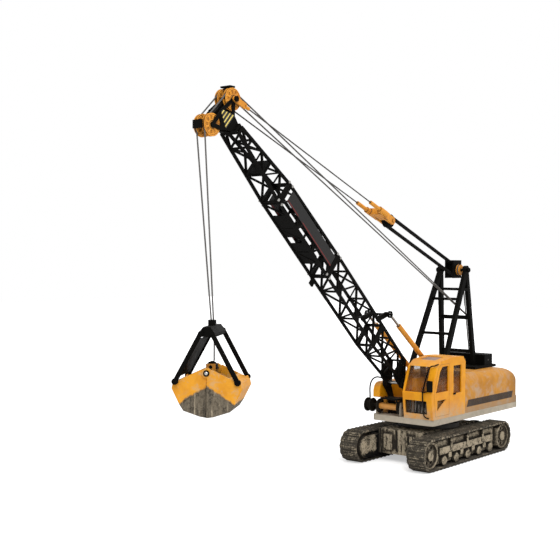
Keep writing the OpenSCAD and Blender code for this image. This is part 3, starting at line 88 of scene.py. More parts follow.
BOOM_Y = -25.0
HEAD = spot("head_spin")
NOSE = spot("nose_spin")
APEX = spot("gantry_pack_spin")
FOOT = spot("boom_luff")
SPREADER = spot("spreader_spin")
DRUM = spot("luff_drum_spin")
GUIDE_FROM_APEX = np.array([-13.0, 0.0, -93.0]) * MM
GUIDE = APEX + GUIDE_FROM_APEX
BOOM_TURN = math.radians(42)
ALONG_BOOM = np.array([math.cos(BOOM_TURN), 0, math.sin(BOOM_TURN)])
OVER_BOOM = np.array([-math.sin(BOOM_TURN), 0, math.cos(BOOM_TURN)])
LINE = unit(HEAD - APEX)

ROPE_R = 1.2 * MM
PENDANT_R = 1.1 * MM
FALLS_R = 0.95 * MM
PITCH_R = 13.0 * MM
GUIDE_ROPE_R = 4.9 * MM
DRUM_ROPE_R = 5.9 * MM
LEAD_ROPE_R = 8.7 * MM
LUFF_R = 10.0 * MM
GRAB_TURN = math.radians(31)
GRAB_COS = math.cos(GRAB_TURN)
GRAB_SIN = math.sin(GRAB_TURN)
HANG = NOSE + PITCH_R * X_AXIS
OUT_OF_PLUMB = np.array([-11.0, 14.5, 0]) * MM
GRAB_AT = HANG + OUT_OF_PLUMB
GRAB_Z = 258.0
HINGE_Z = 203.0


def on_boom(a, h, y):
    """Place at the distance a along the boom, h over its line and y from its middle, in millimetres."""
    return FOOT + (a * ALONG_BOOM + h * OVER_BOOM + y * Y_AXIS) * MM


def on_grab(u, v, z):
    """Place at u along the grab's hinge, v across it and z over the ground, in millimetres."""
    x = u * GRAB_COS - v * GRAB_SIN
    y = u * GRAB_SIN + v * GRAB_COS
    return np.array([GRAB_AT[0] + x * MM, GRAB_AT[1] + y * MM, z * MM])


def sheave_y(side):
    """Middle of a head or nose sheave on one side of the boom's plane, in millimetres."""
    return BOOM_Y + side * 8.0


# Camera: its place from the slewing axis, the way it looks, and its lens in pixels of the photograph
CAMERA_AT = at(1621.31, 961.50, 358.02)
CAMERA_TURN = math.radians(39.10)
CAMERA_PITCH = math.radians(1.07)
CAMERA_ROLL = math.radians(0.35)
HALF_PICTURE = 280.0
FOCAL_LENGTH = 1009.9


def place_camera():
    """Camera turned about Z, tilted up from straight down to its pitch, and rolled about the view axis."""
    data = bpy.data.cameras.new("camera")
    data.angle = 2 * math.atan(HALF_PICTURE / FOCAL_LENGTH)
    data.clip_end = 20
    camera = shown("camera", data)
    turn = Matrix.Rotation(CAMERA_TURN + math.pi / 2, 4, "Z")
    tilt = Matrix.Rotation(math.pi / 2 - CAMERA_PITCH, 4, "X")
    roll = Matrix.Rotation(CAMERA_ROLL, 4, "Z")
    camera.matrix_world = Matrix.Translation(CAMERA_AT) @ turn @ tilt @ roll
    SCENE.camera = camera


place_camera()


# Surfaces: each gives its points and its faces

def grid_faces(rows, cols, wrap_rows=False, wrap_cols=True):
    """Quads between neighbouring rows and columns of a grid of points, closed where it wraps."""
    r = np.arange(rows if wrap_rows else rows - 1)[:, None]
    c = np.arange(cols if wrap_cols else cols - 1)[None, :]
    r2, c2 = (r + 1) % rows, (c + 1) % cols
    quads = np.stack(np.broadcast_arrays(r * cols + c, r * cols + c2, r2 * cols + c2, r2 * cols + c), axis=-1)
    return quads.reshape(-1, 4).tolist()


def capped(rows, cols):
    """Faces of a tube of rings with a flat end at each side."""
    last = (rows - 1) * cols
    return grid_faces(rows, cols) + [list(range(cols)), list(range(last, last + cols))]


def resample(path, step):
    """The same route with points about step apart, and each point's distance from its start."""
    path = np.asarray(path, float)
    s = np.concatenate([[0], np.cumsum(np.linalg.norm(np.diff(path, axis=0), axis=1))])
    t = np.linspace(0, s[-1], max(int(round(s[-1] / step)), 2) + 1)
    return np.stack([np.interp(t, s, path[:, k]) for k in range(3)], axis=1), t


def arc(centre, radius, start, end, y, count=28):
    """Points centre + radius (cos a, sin a) of a circle in the XZ plane, the angle from start to end."""
    a = np.radians(np.linspace(start, end, count))
    x = centre[0] + radius * np.cos(a)
    z = centre[2] + radius * np.sin(a)
    return np.stack([x, np.full(count, y), z], axis=1)


def smooth_route(points, per_span=14):
    """Catmull-Rom curve through the points: a cubic on each span, its slopes half the neighbours' chord."""
    p = np.asarray(points, float)
    p = np.concatenate([[2 * p[0] - p[1]], p, [2 * p[-1] - p[-2]]])
    a, b, c, d = p[:-3, None], p[1:-2, None], p[2:-1, None], p[3:, None]
    t = (np.arange(per_span) / per_span)[None, :, None]
    spans = 0.5 * (2 * b + (c - a) * t + (2 * a - 5 * b + 4 * c - d) * t**2 + (3 * b - a - 3 * c + d) * t**3)
    return np.concatenate([spans.reshape(-1, 3), p[-2:-1]])


STRANDS = 3
STRAND_LAY = 7.0 * MM
STRAND_GROOVE = 0.12


def tube(path, radius, across=Y_AXIS, sides=10, step=0.7 * MM, groove=0.0):
    """Rings square to the path. A ring's radius at the angle q and the distance s is
    radius (1 - groove (1 - |cos(strands (q - 2 pi s / lay) / 2)|)), which twists a groove between strands."""
    p, s = resample(path, step)
    tangent = unit(np.gradient(p, axis=0))
    side = unit(np.cross(tangent, across))
    up = np.cross(side, tangent)
    q = np.linspace(0, 2 * np.pi, sides, endpoint=False)
    twist = q[None, :] - 2 * np.pi * s[:, None] / STRAND_LAY
    r = radius * (1 - groove * (1 - np.abs(np.cos(STRANDS * twist / 2))))
    ring = np.cos(q)[None, :, None] * side[:, None, :] + np.sin(q)[None, :, None] * up[:, None, :]
    return (p[:, None, :] + r[:, :, None] * ring).reshape(-1, 3), capped(len(p), sides)


def rope(path, radius=ROPE_R):
    """Tube with three twisted strands."""
    return tube(path, radius, groove=STRAND_GROOVE)


def wound(*bends):
    """Rope over several wheels in turn, each bend given as arc takes it."""
    return rope(np.concatenate([arc(*bend) for bend in bends]))


def turned(profile, centre, axis, count=32):
    """Profile of (radius, height) pairs turned about the axis through the centre, capped at both ends."""
    profile = np.asarray(profile, float) * MM
    axis = unit(axis)
    side = unit(np.cross(axis, X_AXIS if abs(axis[0]) < 0.9 else Y_AXIS))
    up = np.cross(axis, side)
    q = np.linspace(0, 2 * np.pi, count, endpoint=False)
    ring = np.cos(q)[:, None] * side + np.sin(q)[:, None] * up
    points = centre + profile[:, 0, None, None] * ring[None] + profile[:, 1, None, None] * axis
    return points.reshape(-1, 3), capped(len(profile), count)


def rounded_box(centre, half, radius, turn=0.0, steps=4):
    """Box with round edges: sign(n) (half - radius) + radius n over a grid of unit vectors n, turned about
    Y. Its half sizes and radius are in millimetres."""
    lat = ((np.arange(2 * steps) + 0.5) / (2 * steps) - 0.5) * np.pi
    lon = (np.arange(4 * steps) + 0.5) / (4 * steps) * 2 * np.pi
    flat = np.cos(lat)[:, None]
    n = np.stack(np.broadcast_arrays(flat * np.cos(lon), flat * np.sin(lon), np.sin(lat)[:, None]), axis=-1)
    local = (np.sign(n) * (np.asarray(half, float) - radius) + radius * n) * MM
    c, s = math.cos(turn), math.sin(turn)
    spin = np.array([[c, 0, s], [0, 1, 0], [-s, 0, c]])
    return (local @ spin.T + centre).reshape(-1, 3), capped(2 * steps, 4 * steps)


SHEAVE_WIDTH = 6.0
SHEAVE_POCKETS = 9
POCKET_DEPTH = 1.5
RING_DEPTH = 0.7


def spoked_sheave(centre, middle_y, rim=16.5, root=12.1, bore=2.6, steps=41, count=96):
    """Grooved wheel on the Y axis: a closed profile of (radius, y) turned round. Between the hub and the rim
    both faces are sunk by the pockets' depth times a window over the radius times a window over
    cos(pockets angle), and beside the rim and the hub by a ring groove, its depth times cos^2. Its sizes
    are in millimetres."""
    w = SHEAVE_WIDTH
    face = np.linspace(bore + 0.2, rim - 0.3, steps)
    groove = np.array([[rim, 0.04 * w], [rim, 0.14 * w], [root, 0.34 * w], [root - 0.15, 0.5 * w],
                       [root, 0.66 * w], [rim, 0.86 * w], [rim, 0.96 * w]])
    radius = np.concatenate([[bore], face, groove[:, 0], face[::-1], [bore]])
    height = np.concatenate([[0.2], np.zeros(steps), groove[:, 1], np.full(steps, w), [w - 0.2]])
    inward = np.concatenate([[0], np.ones(steps), np.zeros(len(groove)), -np.ones(steps), [0]])
    q = np.linspace(0, 2 * np.pi, count, endpoint=False)
    share = radius / rim
    band = np.clip((share - 0.42) / 0.08, 0, 1) * np.clip((0.80 - share) / 0.08, 0, 1)
    window = np.clip((np.cos(SHEAVE_POCKETS * q) + 0.45) / 0.5, 0, 1)
    rings = sum(np.cos(np.clip((share - ring) / 0.06, -1, 1) * np.pi / 2) ** 2 for ring in (0.34, 0.87))
    sunk = POCKET_DEPTH * band[:, None] * window[None, :] + RING_DEPTH * rings[:, None]
    y = middle_y - w / 2 + height[:, None] + inward[:, None] * sunk
    points = np.stack([centre[0] + radius[:, None] * MM * np.cos(q), y * MM,
                       centre[2] + radius[:, None] * MM * np.sin(q)], axis=-1)
    return points.reshape(-1, 3), grid_faces(len(radius), count, wrap_rows=True)


def panel(corners, rows=6, cols=12):
    """Sheet through four corners, (1-u)(1-v)A + u(1-v)B + uvC + (1-u)vD, with u and v as its map."""
    a, b, c, d = (np.asarray(p, float) for p in corners)
    u, v = np.meshgrid(np.linspace(0, 1, cols), np.linspace(0, 1, rows))
    u, v = u[..., None], v[..., None]
    points = (1 - u) * (1 - v) * a + u * (1 - v) * b + u * v * c + (1 - u) * v * d
    uv = np.concatenate([u, v], -1).reshape(-1, 2)
    return points.reshape(-1, 3), grid_faces(rows, cols, wrap_cols=False), uv


# Pieces

def piece(name, parts, material, uv=None, flat=False):
    """Mesh object of several surfaces, each face's numbers moved on by the points before it, with its doubles
    merged and its faces turned outwards."""
    starts = np.cumsum([0] + [len(p) for p, _ in parts[:-1]]).tolist()
    points = np.concatenate([p for p, _ in parts])
    faces = [[i + s for i in f] for s, (_, fs) in zip(starts, parts) for f in fs]
    mesh = bpy.data.meshes.new(name)
    mesh.from_pydata(points.tolist(), [], faces)
    if uv is not None:
        layer = mesh.uv_layers.new(name="map")
        corner = np.empty(len(mesh.loops), dtype=np.int32)
        mesh.loops.foreach_get("vertex_index", corner)
        layer.data.foreach_set("uv", uv[corner].astype(np.float32).ravel())
    bm = bmesh.new()
    bm.from_mesh(mesh)
    bmesh.ops.remove_doubles(bm, verts=bm.verts, dist=1e-6)
    bmesh.ops.recalc_face_normals(bm, faces=bm.faces)
    bm.to_mesh(mesh)
    bm.free()
    if not flat:
        mesh.shade_smooth()
        mesh.set_sharp_from_angle(angle=math.radians(50))
    mesh.materials.append(material)
    obj = shown(name, mesh)
    return obj


def walled(obj, thickness, offset=-1):
    """Sheet given a thickness: inwards, or to both sides alike if the offset is 0."""
    wall = obj.modifiers.new("wall", "SOLIDIFY")
    wall.thickness = thickness
    wall.offset = offset
    return obj


def riding(obj, body, *nodes):
    """The piece moves with the body, and stands for the nodes, if any."""
    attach(obj, body)
    if nodes:
        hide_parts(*nodes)
    return obj


def stretched(obj, body_a, body_b, start, end, *nodes):
    """The piece is baked where it stands and stands for the nodes, if any; body_a, body_b, start and end are
    not used.
    """
    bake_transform(obj)
    if nodes:
        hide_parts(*nodes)


def eased(node, width, material, second=None, picks=None):
    """Copy of a solid with its doubles merged, flat faces joined, edges rounded by width in millimetres and
    curved faces shaded smooth; it stands for the solid. The faces whose middles are picked get the second
    material."""
    mesh = NODES[node].data.copy()
    bm = bmesh.new()
    bm.from_mesh(mesh)
    bmesh.ops.remove_doubles(bm, verts=bm.verts, dist=2e-6)
    bmesh.ops.dissolve_limit(bm, angle_limit=math.radians(0.4), verts=bm.verts, edges=bm.edges)
    bm.to_mesh(mesh)
    bm.free()
    mesh.shade_smooth()
    mesh.set_sharp_from_angle(angle=math.radians(14))
    mesh.materials.clear()
    mesh.materials.append(material)
    if second:
        mesh.materials.append(second)
        middle = np.empty(3 * len(mesh.polygons))
        mesh.polygons.foreach_get("center", middle)
        mesh.polygons.foreach_set("material_index", picks(middle.reshape(-1, 3) / MM).astype(np.int32))
    obj = shown(node + "_shape", mesh)
    if width:
        bevel = obj.modifiers.new("edges", "BEVEL")
        bevel.width = width * MM
        bevel.segments = 2
        bevel.limit_method = "ANGLE"
        bevel.angle_limit = math.radians(25)
        bevel.harden_normals = True
    riding(obj, BODY_OF[node], node)


# Pickers of faces: each takes the middles of a solid's faces in millimetres
SHELL_HALF_WIDTH = 38.2
BLOCK_HALF_WIDTH = 9.05
BLOCK_HALF_GAP = 3.95
STOP_PIN = on_boom(126, 56, 0) / MM
ROD_EYE_R = 6.6
TRACK_PLATE_Y = 47.0
WINCH_Y = -30.0
WINCH_HALF_WIDTH = 19.9


def along_hinge(p):
    """Distances of points along and across the grab's hinge."""
    x = p[:, 0] - GRAB_AT[0] / MM
    y = p[:, 1] - GRAB_AT[1] / MM
    return np.abs(x * GRAB_COS + y * GRAB_SIN), np.abs(y * GRAB_COS - x * GRAB_SIN)


def pin_ends(p):
    """Parts of a shell outside its cheeks."""
    return along_hinge(p)[0] > SHELL_HALF_WIDTH


def block_body(p):
    """Cheeks and foot of the lower block, without its sheave and pins."""
    u, v = along_hinge(p)
    z = p[:, 2] - HINGE_Z
    cheeks = u > BLOCK_HALF_GAP
    foot = z < -3.5
    corners = (v > 6.95) & (z < 2.2)
    return (u < BLOCK_HALF_WIDTH) & (cheeks | foot | corners)


def rod_eyes(p):
    """Eyes of the backstop rods, round the boom's cross pin."""
    d = p - STOP_PIN
    return np.hypot(d[:, 0], d[:, 2]) < ROD_EYE_R


def inner_plates(p):
    """Faces of the track frames that look towards the chassis."""
    return np.abs(np.abs(p[:, 1]) - TRACK_PLATE_Y) < 0.3


def drum_ends(p):
    """Flanges and shaft ends of the front winch."""
    return np.abs(p[:, 1] - WINCH_Y) > WINCH_HALF_WIDTH


# Materials

def linear(colour):
    """Linear colour of an 8-bit display colour, which has three parts; anything else as it is."""
    if not isinstance(colour, tuple) or len(colour) != 3:
        return colour
    c = np.array(colour) / 255
    return (*np.where(c <= 0.04045, c / 12.92, ((c + 0.055) / 1.055) ** 2.4).tolist(), 1.0)


def dimmed(colour, share):
    """Linear colour of a display colour, times the share."""
    return (*(share * c for c in linear(colour)[:3]), 1.0)


class Tree:
    """Short ways to add and join the nodes of one node tree."""

    def __init__(self, tree):
        self.tree = tree

    def put(self, socket, value):
        """Link a socket to the value if it is an output, otherwise set it."""
        if isinstance(value, bpy.types.NodeSocket):
            self.tree.links.new(value, socket)
        else:
            socket.default_value = value

    def add(self, kind, props=None, **sockets):
        """New node; an underscore in a socket's name stands for a space."""
        node = self.tree.nodes.new("ShaderNode" + kind)
        for key, value in (props or {}).items():
            setattr(node, key, value)
        for key, value in sockets.items():
            self.put(node.inputs[key.replace("_", " ")], value)
        return node

    def math(self, operation, *values, clamp=False):
        node = self.add("Math", {"operation": operation, "use_clamp": clamp})
        for socket, value in zip(node.inputs, values):
            self.put(socket, value)
        return node.outputs[0]

    def plus(self, first, second, clamp=False):
        return self.math("ADD", first, second, clamp=clamp)

    def minus(self, first, second):
        return self.math("SUBTRACT", first, second)

    def times(self, first, second, clamp=False):
        return self.math("MULTIPLY", first, second, clamp=clamp)

    def ramp(self, value, low, high, start=0.0, end=1.0):
        """Smooth step of the value from low to high."""
        return self.add("MapRange", {"interpolation_type": "SMOOTHSTEP"}, Value=value, From_Min=low,
                        From_Max=high, To_Min=start, To_Max=end).outputs[0]

    def band(self, value, low, high, soft):
        """1 where the value is between low and high, with a smooth step of half width soft at both."""
        rise = self.ramp(value, low - soft, low + soft)
        return self.times(rise, self.ramp(value, high + soft, high - soft))

    def mix(self, share, first, second):
        """Colour between two colours."""
        node = self.add("Mix", {"data_type": "RGBA"})
        for index, value in ((0, share), (6, first), (7, second)):
            self.put(node.inputs[index], linear(value))
        return node.outputs[2]

    def coords(self):
        return self.add("TexCoord").outputs["Object"]

    def placed(self, shift=(0, 0, 0), turn=(0, 0, 0), scale=(1, 1, 1)):
        """Object coordinates, scaled, turned and then shifted."""
        return self.add("Mapping", Vector=self.coords(), Location=shift, Rotation=turn,
                        Scale=scale).outputs[0]

    def axes(self, vector):
        return self.add("SeparateXYZ", Vector=vector).outputs

    def noise(self, vector, scale, detail=3.0, roughness=0.55, distortion=0.0):
        return self.add("TexNoise", Vector=vector, Scale=scale, Detail=detail, Roughness=roughness,
                        Distortion=distortion).outputs[0]

    def ragged(self, vector, scale, width):
        """Noise about zero, to roughen a line by up to half the width."""
        return self.times(self.minus(self.noise(vector, scale, 5.0, 0.65), 0.5), width)

    def group(self, shared, **sockets):
        node = self.add("Group", {"node_tree": shared})
        for key, value in sockets.items():
            self.put(node.inputs[key], value)
        return node.outputs


def new_group(name, inputs, outputs):
    """Empty node group with number inputs and outputs of the given kinds; gives it, its tree and its ends."""
    shared = bpy.data.node_groups.new(name, "ShaderNodeTree")
    for socket in inputs:
        shared.interface.new_socket(name=socket, in_out="INPUT", socket_type="NodeSocketFloat")
    for socket, kind in outputs.items():
        shared.interface.new_socket(name=socket, in_out="OUTPUT", socket_type="NodeSocket" + kind)
    start = shared.nodes.new("NodeGroupInput")
    end = shared.nodes.new("NodeGroupOutput")
    return shared, Tree(shared), start.outputs, end.inputs


def make_grain():
    """Moulded surface: fine height, and a broad tone from 0 to 1."""
    shared, t, given, end = new_group("grain", ["Scale"], {"Height": "Float", "Tone": "Float"})
    place = t.coords()
    fine = t.noise(place, t.times(given["Scale"], 14.0), 2.0)
    broad = t.noise(place, given["Scale"], 4.0, 0.6)
    t.put(end["Height"], fine)
    t.put(end["Tone"], t.ramp(broad, 0.3, 0.7))
    return shared


def make_dust():
    """Dust: thick at the height Low, gone at High, in patches, and on faces that look up by the share Top."""
    inputs = ["Low", "High", "Patch", "Amount", "Top"]
    shared, t, given, end = new_group("dust_film", inputs, {"Mask": "Float"})
    place = t.coords()
    fall = t.ramp(t.axes(place)["Z"], given["High"], given["Low"])
    broad = t.ramp(t.noise(place, given["Patch"], 5.0, 0.62, 0.4), 0.36, 0.64)
    speck = t.ramp(t.noise(place, t.times(given["Patch"], 5.0), 3.0, 0.7), 0.42, 0.62)
    patch = t.plus(t.times(broad, 0.75), t.times(speck, 0.35))
    up = t.ramp(t.axes(t.add("NewGeometry").outputs["Normal"])["Z"], 0.35, 0.95)
    lying = t.times(t.times(up, given["Top"]), t.plus(patch, 0.25))
    film = t.times(fall, t.plus(patch, 0.12))
    t.put(end["Mask"], t.times(t.plus(film, lying), given["Amount"], clamp=True))
    return shared


def make_edges():
    """Rounded normal of the edges within Radius, and a broken mask where the edge is worn."""
    shared, t, given, end = new_group("worn_edges", ["Radius"], {"Mask": "Float", "Normal": "Vector"})
    soft = t.add("Bevel", {"samples": 6}, Radius=given["Radius"]).outputs[0]
    dot = t.add("VectorMath", {"operation": "DOT_PRODUCT"})
    t.put(dot.inputs[0], soft)
    t.put(dot.inputs[1], t.add("NewGeometry").outputs["Normal"])
    bent = t.ramp(dot.outputs["Value"], 0.985, 0.86)
    broken = t.ramp(t.noise(t.coords(), 160.0, 4.0, 0.7), 0.44, 0.62)
    t.put(end["Mask"], t.times(bent, broken))
    t.put(end["Normal"], soft)
    return shared


# Darkest mud, also used as painted shade in hollows and on dimmed mud.
MUD_DARK_AND_SHADE = (26, 24, 20)
MUD_MID = (98, 90, 76)
MUD_LIGHT = (180, 166, 142)


def make_mud():
    """Dried mud: its cover, its colour from dark hollows to pale crust, and its height. The dark of the hollows
    is partly the mud's own tone and partly a painted shade from the open air round each point.
    """
    outputs = {"Mask": "Float", "Colour": "Color", "Height": "Float"}
    shared, t, given, end = new_group("dry_mud", ["Scale", "Amount"], outputs)
    place = t.coords()
    broad = t.noise(place, given["Scale"], 6.0, 0.68, 0.6)
    crumb = t.noise(place, t.times(given["Scale"], 4.5), 4.0, 0.72)
    open_sky = t.add("AmbientOcclusion", {"samples": 6}, Distance=9 * MM).outputs["AO"]
    level = t.plus(t.times(broad, 0.8), t.times(crumb, 0.9))
    # Less open air lowers the level and darkens the colour: painted shade in hollows, over the mud's own dark
    # tone.
    level = t.plus(t.minus(level, 0.36), t.times(t.minus(open_sky, 0.93), 1.1))
    dark_mid = t.mix(t.ramp(level, 0.26, 0.46), MUD_DARK_AND_SHADE, MUD_MID)
    t.put(end["Colour"], t.mix(t.ramp(level, 0.44, 0.64), dark_mid, MUD_LIGHT))
    low = t.minus(0.70, t.times(given["Amount"], 0.5))
    t.put(end["Mask"], t.ramp(level, low, t.plus(low, 0.16)))
    t.put(end["Height"], level)
    return shared


GRAIN, DUST, EDGES, MUD = make_grain(), make_dust(), make_edges(), make_mud()
TAN = (205, 170, 132)
PALE_DUST = (196, 184, 166)


class Finish(Tree):
    """Node tree of a new material, with its Principled shader."""

    def __init__(self, name):
        self.material = bpy.data.materials.new(name)
        self.material.use_nodes = True
        super().__init__(self.material.node_tree)
        self.shader = self.tree.nodes["Principled BSDF"]

    def coat(self, colour, rough, specular=0.5):
        """Colour, roughness and specular level of the shader."""
        self.put(self.shader.inputs["Base Color"], colour)
        self.put(self.shader.inputs["Roughness"], rough)
        self.put(self.shader.inputs["Specular IOR Level"], specular)

    def bump(self, height, strength, distance, normal=None):
        """Bump from a height, over a rounded normal if one is given."""
        bump = self.add("Bump", Height=height, Strength=strength, Distance=distance)
        if normal is not None:
            self.put(bump.inputs["Normal"], normal)
        self.put(self.shader.inputs["Normal"], bump.outputs[0])


def plastic(name, colour, deep, dust=TAN, low=0.0, high=0.1, patch=40.0, amount=0.0, top=0.0, rough=0.42,
            wear=0.5, worn=None, specular=0.4, hollow=0.0):
    """Moulded plastic: two tones of its colour, dust that falls off with height, and edges rubbed lighter, on
    black plastic partly a painted sheen; places with less open air than the distance hollow, in millimetres,
    get a painted shade."""
    t = Finish(name)
    moulded = t.group(GRAIN, Scale=55.0)
    edges = t.group(EDGES, Radius=0.5 * MM)
    film = t.group(DUST, Low=low, High=high, Patch=patch, Amount=amount, Top=top)["Mask"]
    base = t.mix(moulded["Tone"], deep, colour)
    if hollow:
        # Painted shade in hollows: the colour darkens where little open air is within the distance hollow.
        air = t.add("AmbientOcclusion", {"samples": 6}, Distance=hollow * MM).outputs["AO"]
        base = t.mix(t.ramp(air, 0.55, 0.96), dimmed(deep, 0.15), base)
    rubbed = t.mix(t.times(edges["Mask"], wear), base, worn or dust)
    dull = t.plus(rough, t.times(moulded["Tone"], 0.08))
    t.coat(t.mix(film, rubbed, dust), t.plus(dull, t.times(film, 0.35), clamp=True), specular)
    t.bump(t.plus(moulded["Height"], film), 0.12, 0.2 * MM, edges["Normal"])
    return t.material


def plate_shade(t):
    """Share of painted shade on the inner plates of the track frames: the middle, under the deck between the
    tracks, and a ragged strip along the foot.
    """
    place = t.coords()
    axis = t.axes(place)
    ragged = t.ragged(place, 120.0, 0.024)
    away = t.math("ABSOLUTE", t.minus(axis["X"], SLEW_X))
    middle = t.ramp(t.plus(away, ragged), 0.106, 0.100)
    foot = t.ramp(t.plus(axis["Z"], ragged), 0.021, 0.016)
    return t.math("MAXIMUM", middle, foot)


def muddy(name, under, scale, amount, streak=None, bump=0.55, dim=0.0, rub=0.4, shaded=None):
    """Plastic or rubber under a crust of dried mud, dimmed evenly towards its dark tone as a painted shade;
    streak is the scale of upright runs, rub the share of pale mud on the edges, and the last argument gives
    the share of surface painted near black as shade."""
    t = Finish(name)
    moulded = t.group(GRAIN, Scale=70.0)
    mud = t.group(MUD, Scale=scale, Amount=amount)
    edges = t.group(EDGES, Radius=0.6 * MM)
    # Painted shade: the crust is dimmed evenly towards the darkest mud by the share dim.
    crust = t.mix(dim, mud["Colour"], MUD_DARK_AND_SHADE)
    if streak:
        run = t.noise(t.placed(scale=(1, 1, 0.12)), streak, 4.0, 0.65)
        crust = t.mix(t.ramp(run, 0.50, 0.68), crust, MUD_LIGHT)
        crust = t.mix(t.ramp(run, 0.50, 0.40), crust, MUD_DARK_AND_SHADE)
    base = t.mix(t.ramp(moulded["Tone"], 0, 1), dimmed(under, 0.7), under)
    colour = t.mix(mud["Mask"], base, crust)
    # Painted shade: the given share of the surface turns near black.
    if shaded:
        colour = t.mix(shaded(t), colour, DEEP_BLACK_AND_SHADE)
    rubbed = t.mix(t.times(edges["Mask"], rub), colour, MUD_LIGHT)
    t.coat(rubbed, t.minus(0.92, t.times(moulded["Tone"], 0.1)), 0.12)
    t.bump(mud["Height"], bump, 1.0 * MM, edges["Normal"])
    return t.material


BLACK = (13, 12, 10)
DEEP_BLACK_AND_SHADE = (8, 7, 6)
YELLOW = (236, 160, 14)
DEEP_YELLOW = (222, 142, 8)

YELLOW_CAB = plastic(
    "yellow_cab", YELLOW, DEEP_YELLOW, low=0.080, high=0.116, amount=1.0, top=0.24, rough=0.36,
    specular=0.28)
YELLOW_GEAR = plastic(
    "yellow_gear", (230, 154, 38), (206, 132, 30), low=0.3, high=0.9, patch=60.0, amount=0.10, rough=0.45,
    wear=0.2, worn=(240, 190, 100), specular=0.3, hollow=3.5)
YELLOW_WINCH = plastic("yellow_winch", (216, 146, 48), (180, 118, 44), low=0.08, high=0.12, amount=0.3)
# Dark yellow for the door's outline: a painted shadow line.
DOOR_GAP_SHADE = plastic("seam_yellow", (150, 98, 24), (132, 84, 20), rough=0.6)
HATCH_DUST = plastic(
    "hatch_dust", (160, 128, 114), (132, 104, 92), dust=PALE_DUST, low=0.15, high=0.2, amount=0.3,
    rough=0.3)
# Its edges turn a lighter grey: partly wear, partly a painted sheen.
BLACK_PLASTIC = plastic(
    "black_plastic", BLACK, DEEP_BLACK_AND_SHADE, dust=(96, 86, 74), low=0.08, high=0.16, patch=50.0, amount=0.16,
    top=0.06, rough=0.5, wear=0.16, worn=(70, 66, 60), specular=0.04)
DECK_GREY = plastic(
    "deck_grey", (186, 176, 158), (166, 156, 138), dust=PALE_DUST, low=0.066, high=0.09, patch=70.0,
    amount=0.9, rough=0.7, worn=(206, 196, 178), specular=0.25)
PLATE_GREY = plastic(
    "plate_grey", (128, 118, 102), (96, 88, 76), dust=PALE_DUST, low=0.08, high=0.12, amount=0.5, rough=0.7,
    specular=0.25)
RING_BLACK = plastic(
    "ring_black", (34, 32, 30), (20, 19, 18), dust=(110, 100, 86), low=0.05, high=0.08, amount=0.25,
    rough=0.5, specular=0.3)
SEAT_BLACK = plastic(
    "seat_black", (30, 27, 25), (18, 16, 15), dust=(110, 100, 88), low=0.08, high=0.14, amount=0.2,
    rough=0.55, specular=0.2)
LEVER_GREY = plastic("lever_grey", (224, 220, 212), (190, 184, 176), rough=0.4)
PACK_BLUE = plastic("pack_blue", (52, 96, 150), (40, 78, 128), rough=0.4)
# The dim shares below are a painted shade on the belts, wheels and chassis.
MUDDY_BELT = muddy("muddy_belt", (72, 67, 59), 95.0, 0.30, bump=0.6, dim=0.2, rub=0.06)
MUDDY_FRAME = muddy("muddy_frame", (46, 42, 36), 80.0, 0.8, bump=0.7)
MUDDY_SHADED_PLATE = muddy("muddy_plate", (30, 27, 24), 80.0, 0.62, bump=0.9, shaded=plate_shade)
MUDDY_WHEEL = muddy("muddy_wheel", (60, 54, 46), 90.0, 0.8, dim=0.15)
MUDDY_CHASSIS = muddy("muddy_chassis", (54, 49, 42), 70.0, 0.75, streak=170.0, dim=0.2, rub=0.25)


def make_metal(name, colour, deep, rough):
    """Bare metal with fine scratches along X and a dull tone in patches."""
    t = Finish(name)
    moulded = t.group(GRAIN, Scale=60.0)
    scratch = t.noise(t.placed(scale=(0.06, 1, 1)), 900.0, 3.0)
    t.coat(t.mix(moulded["Tone"], deep, colour), t.plus(rough, t.times(scratch, 0.18)))
    t.shader.inputs["Metallic"].default_value = 1.0
    t.bump(scratch, 0.08, 0.1 * MM)
    return t.material


STEEL = make_metal("steel", (196, 194, 190), (160, 157, 152), 0.25)
IRON = make_metal("iron", (110, 106, 100), (84, 80, 74), 0.45)


def make_rope_finish(name, pale, dark):
    """Cord: two tones in broad patches and in a fine fibre."""
    t = Finish(name)
    place = t.coords()
    fibre = t.noise(place, 2600.0, 2.0, 0.6)
    stretch = t.noise(place, 45.0, 3.0)
    tone = t.plus(t.times(fibre, 0.6), t.times(stretch, 0.4))
    t.coat(t.mix(t.ramp(tone, 0.36, 0.64), dark, pale), t.plus(0.62, t.times(fibre, 0.25)), 0.1)
    t.bump(fibre, 0.3, 0.15 * MM)
    return t.material


ROPE_GREY = make_rope_finish("rope_grey", (108, 106, 103), (76, 74, 72))
ROPE_DARK = make_rope_finish("rope_dark", (26, 25, 24), (14, 13, 13))
ROPE_MID = make_rope_finish("rope_mid", (92, 90, 87), (58, 56, 54))


def make_glass():
    """Tinted pane that lets the inside show, with smears: brown above as a painted shade of the roof over the
    cab's inside, amber in the middle, dark below.
    """
    t = Finish("cab_glass")
    place = t.coords()
    smear = t.noise(place, 55.0, 4.0, 0.6)
    height = t.axes(place)["Z"]
    # Colour by height: the brown top is a painted shade under the roof.
    shaded_tint = t.mix(t.ramp(height, 0.140, 0.160), (168, 98, 32), (84, 58, 44))
    shaded_tint = t.mix(t.ramp(height, 0.122, 0.116), shaded_tint, (40, 36, 34))
    smeared = t.mix(t.ramp(smear, 0.45, 0.75, 0.0, 0.4), shaded_tint, (170, 150, 130))
    t.coat(smeared, t.plus(0.06, t.times(smear, 0.12)), 0.2)
    t.shader.inputs["Alpha"].default_value = 0.28
    return t.material


CAB_GLASS = make_glass()


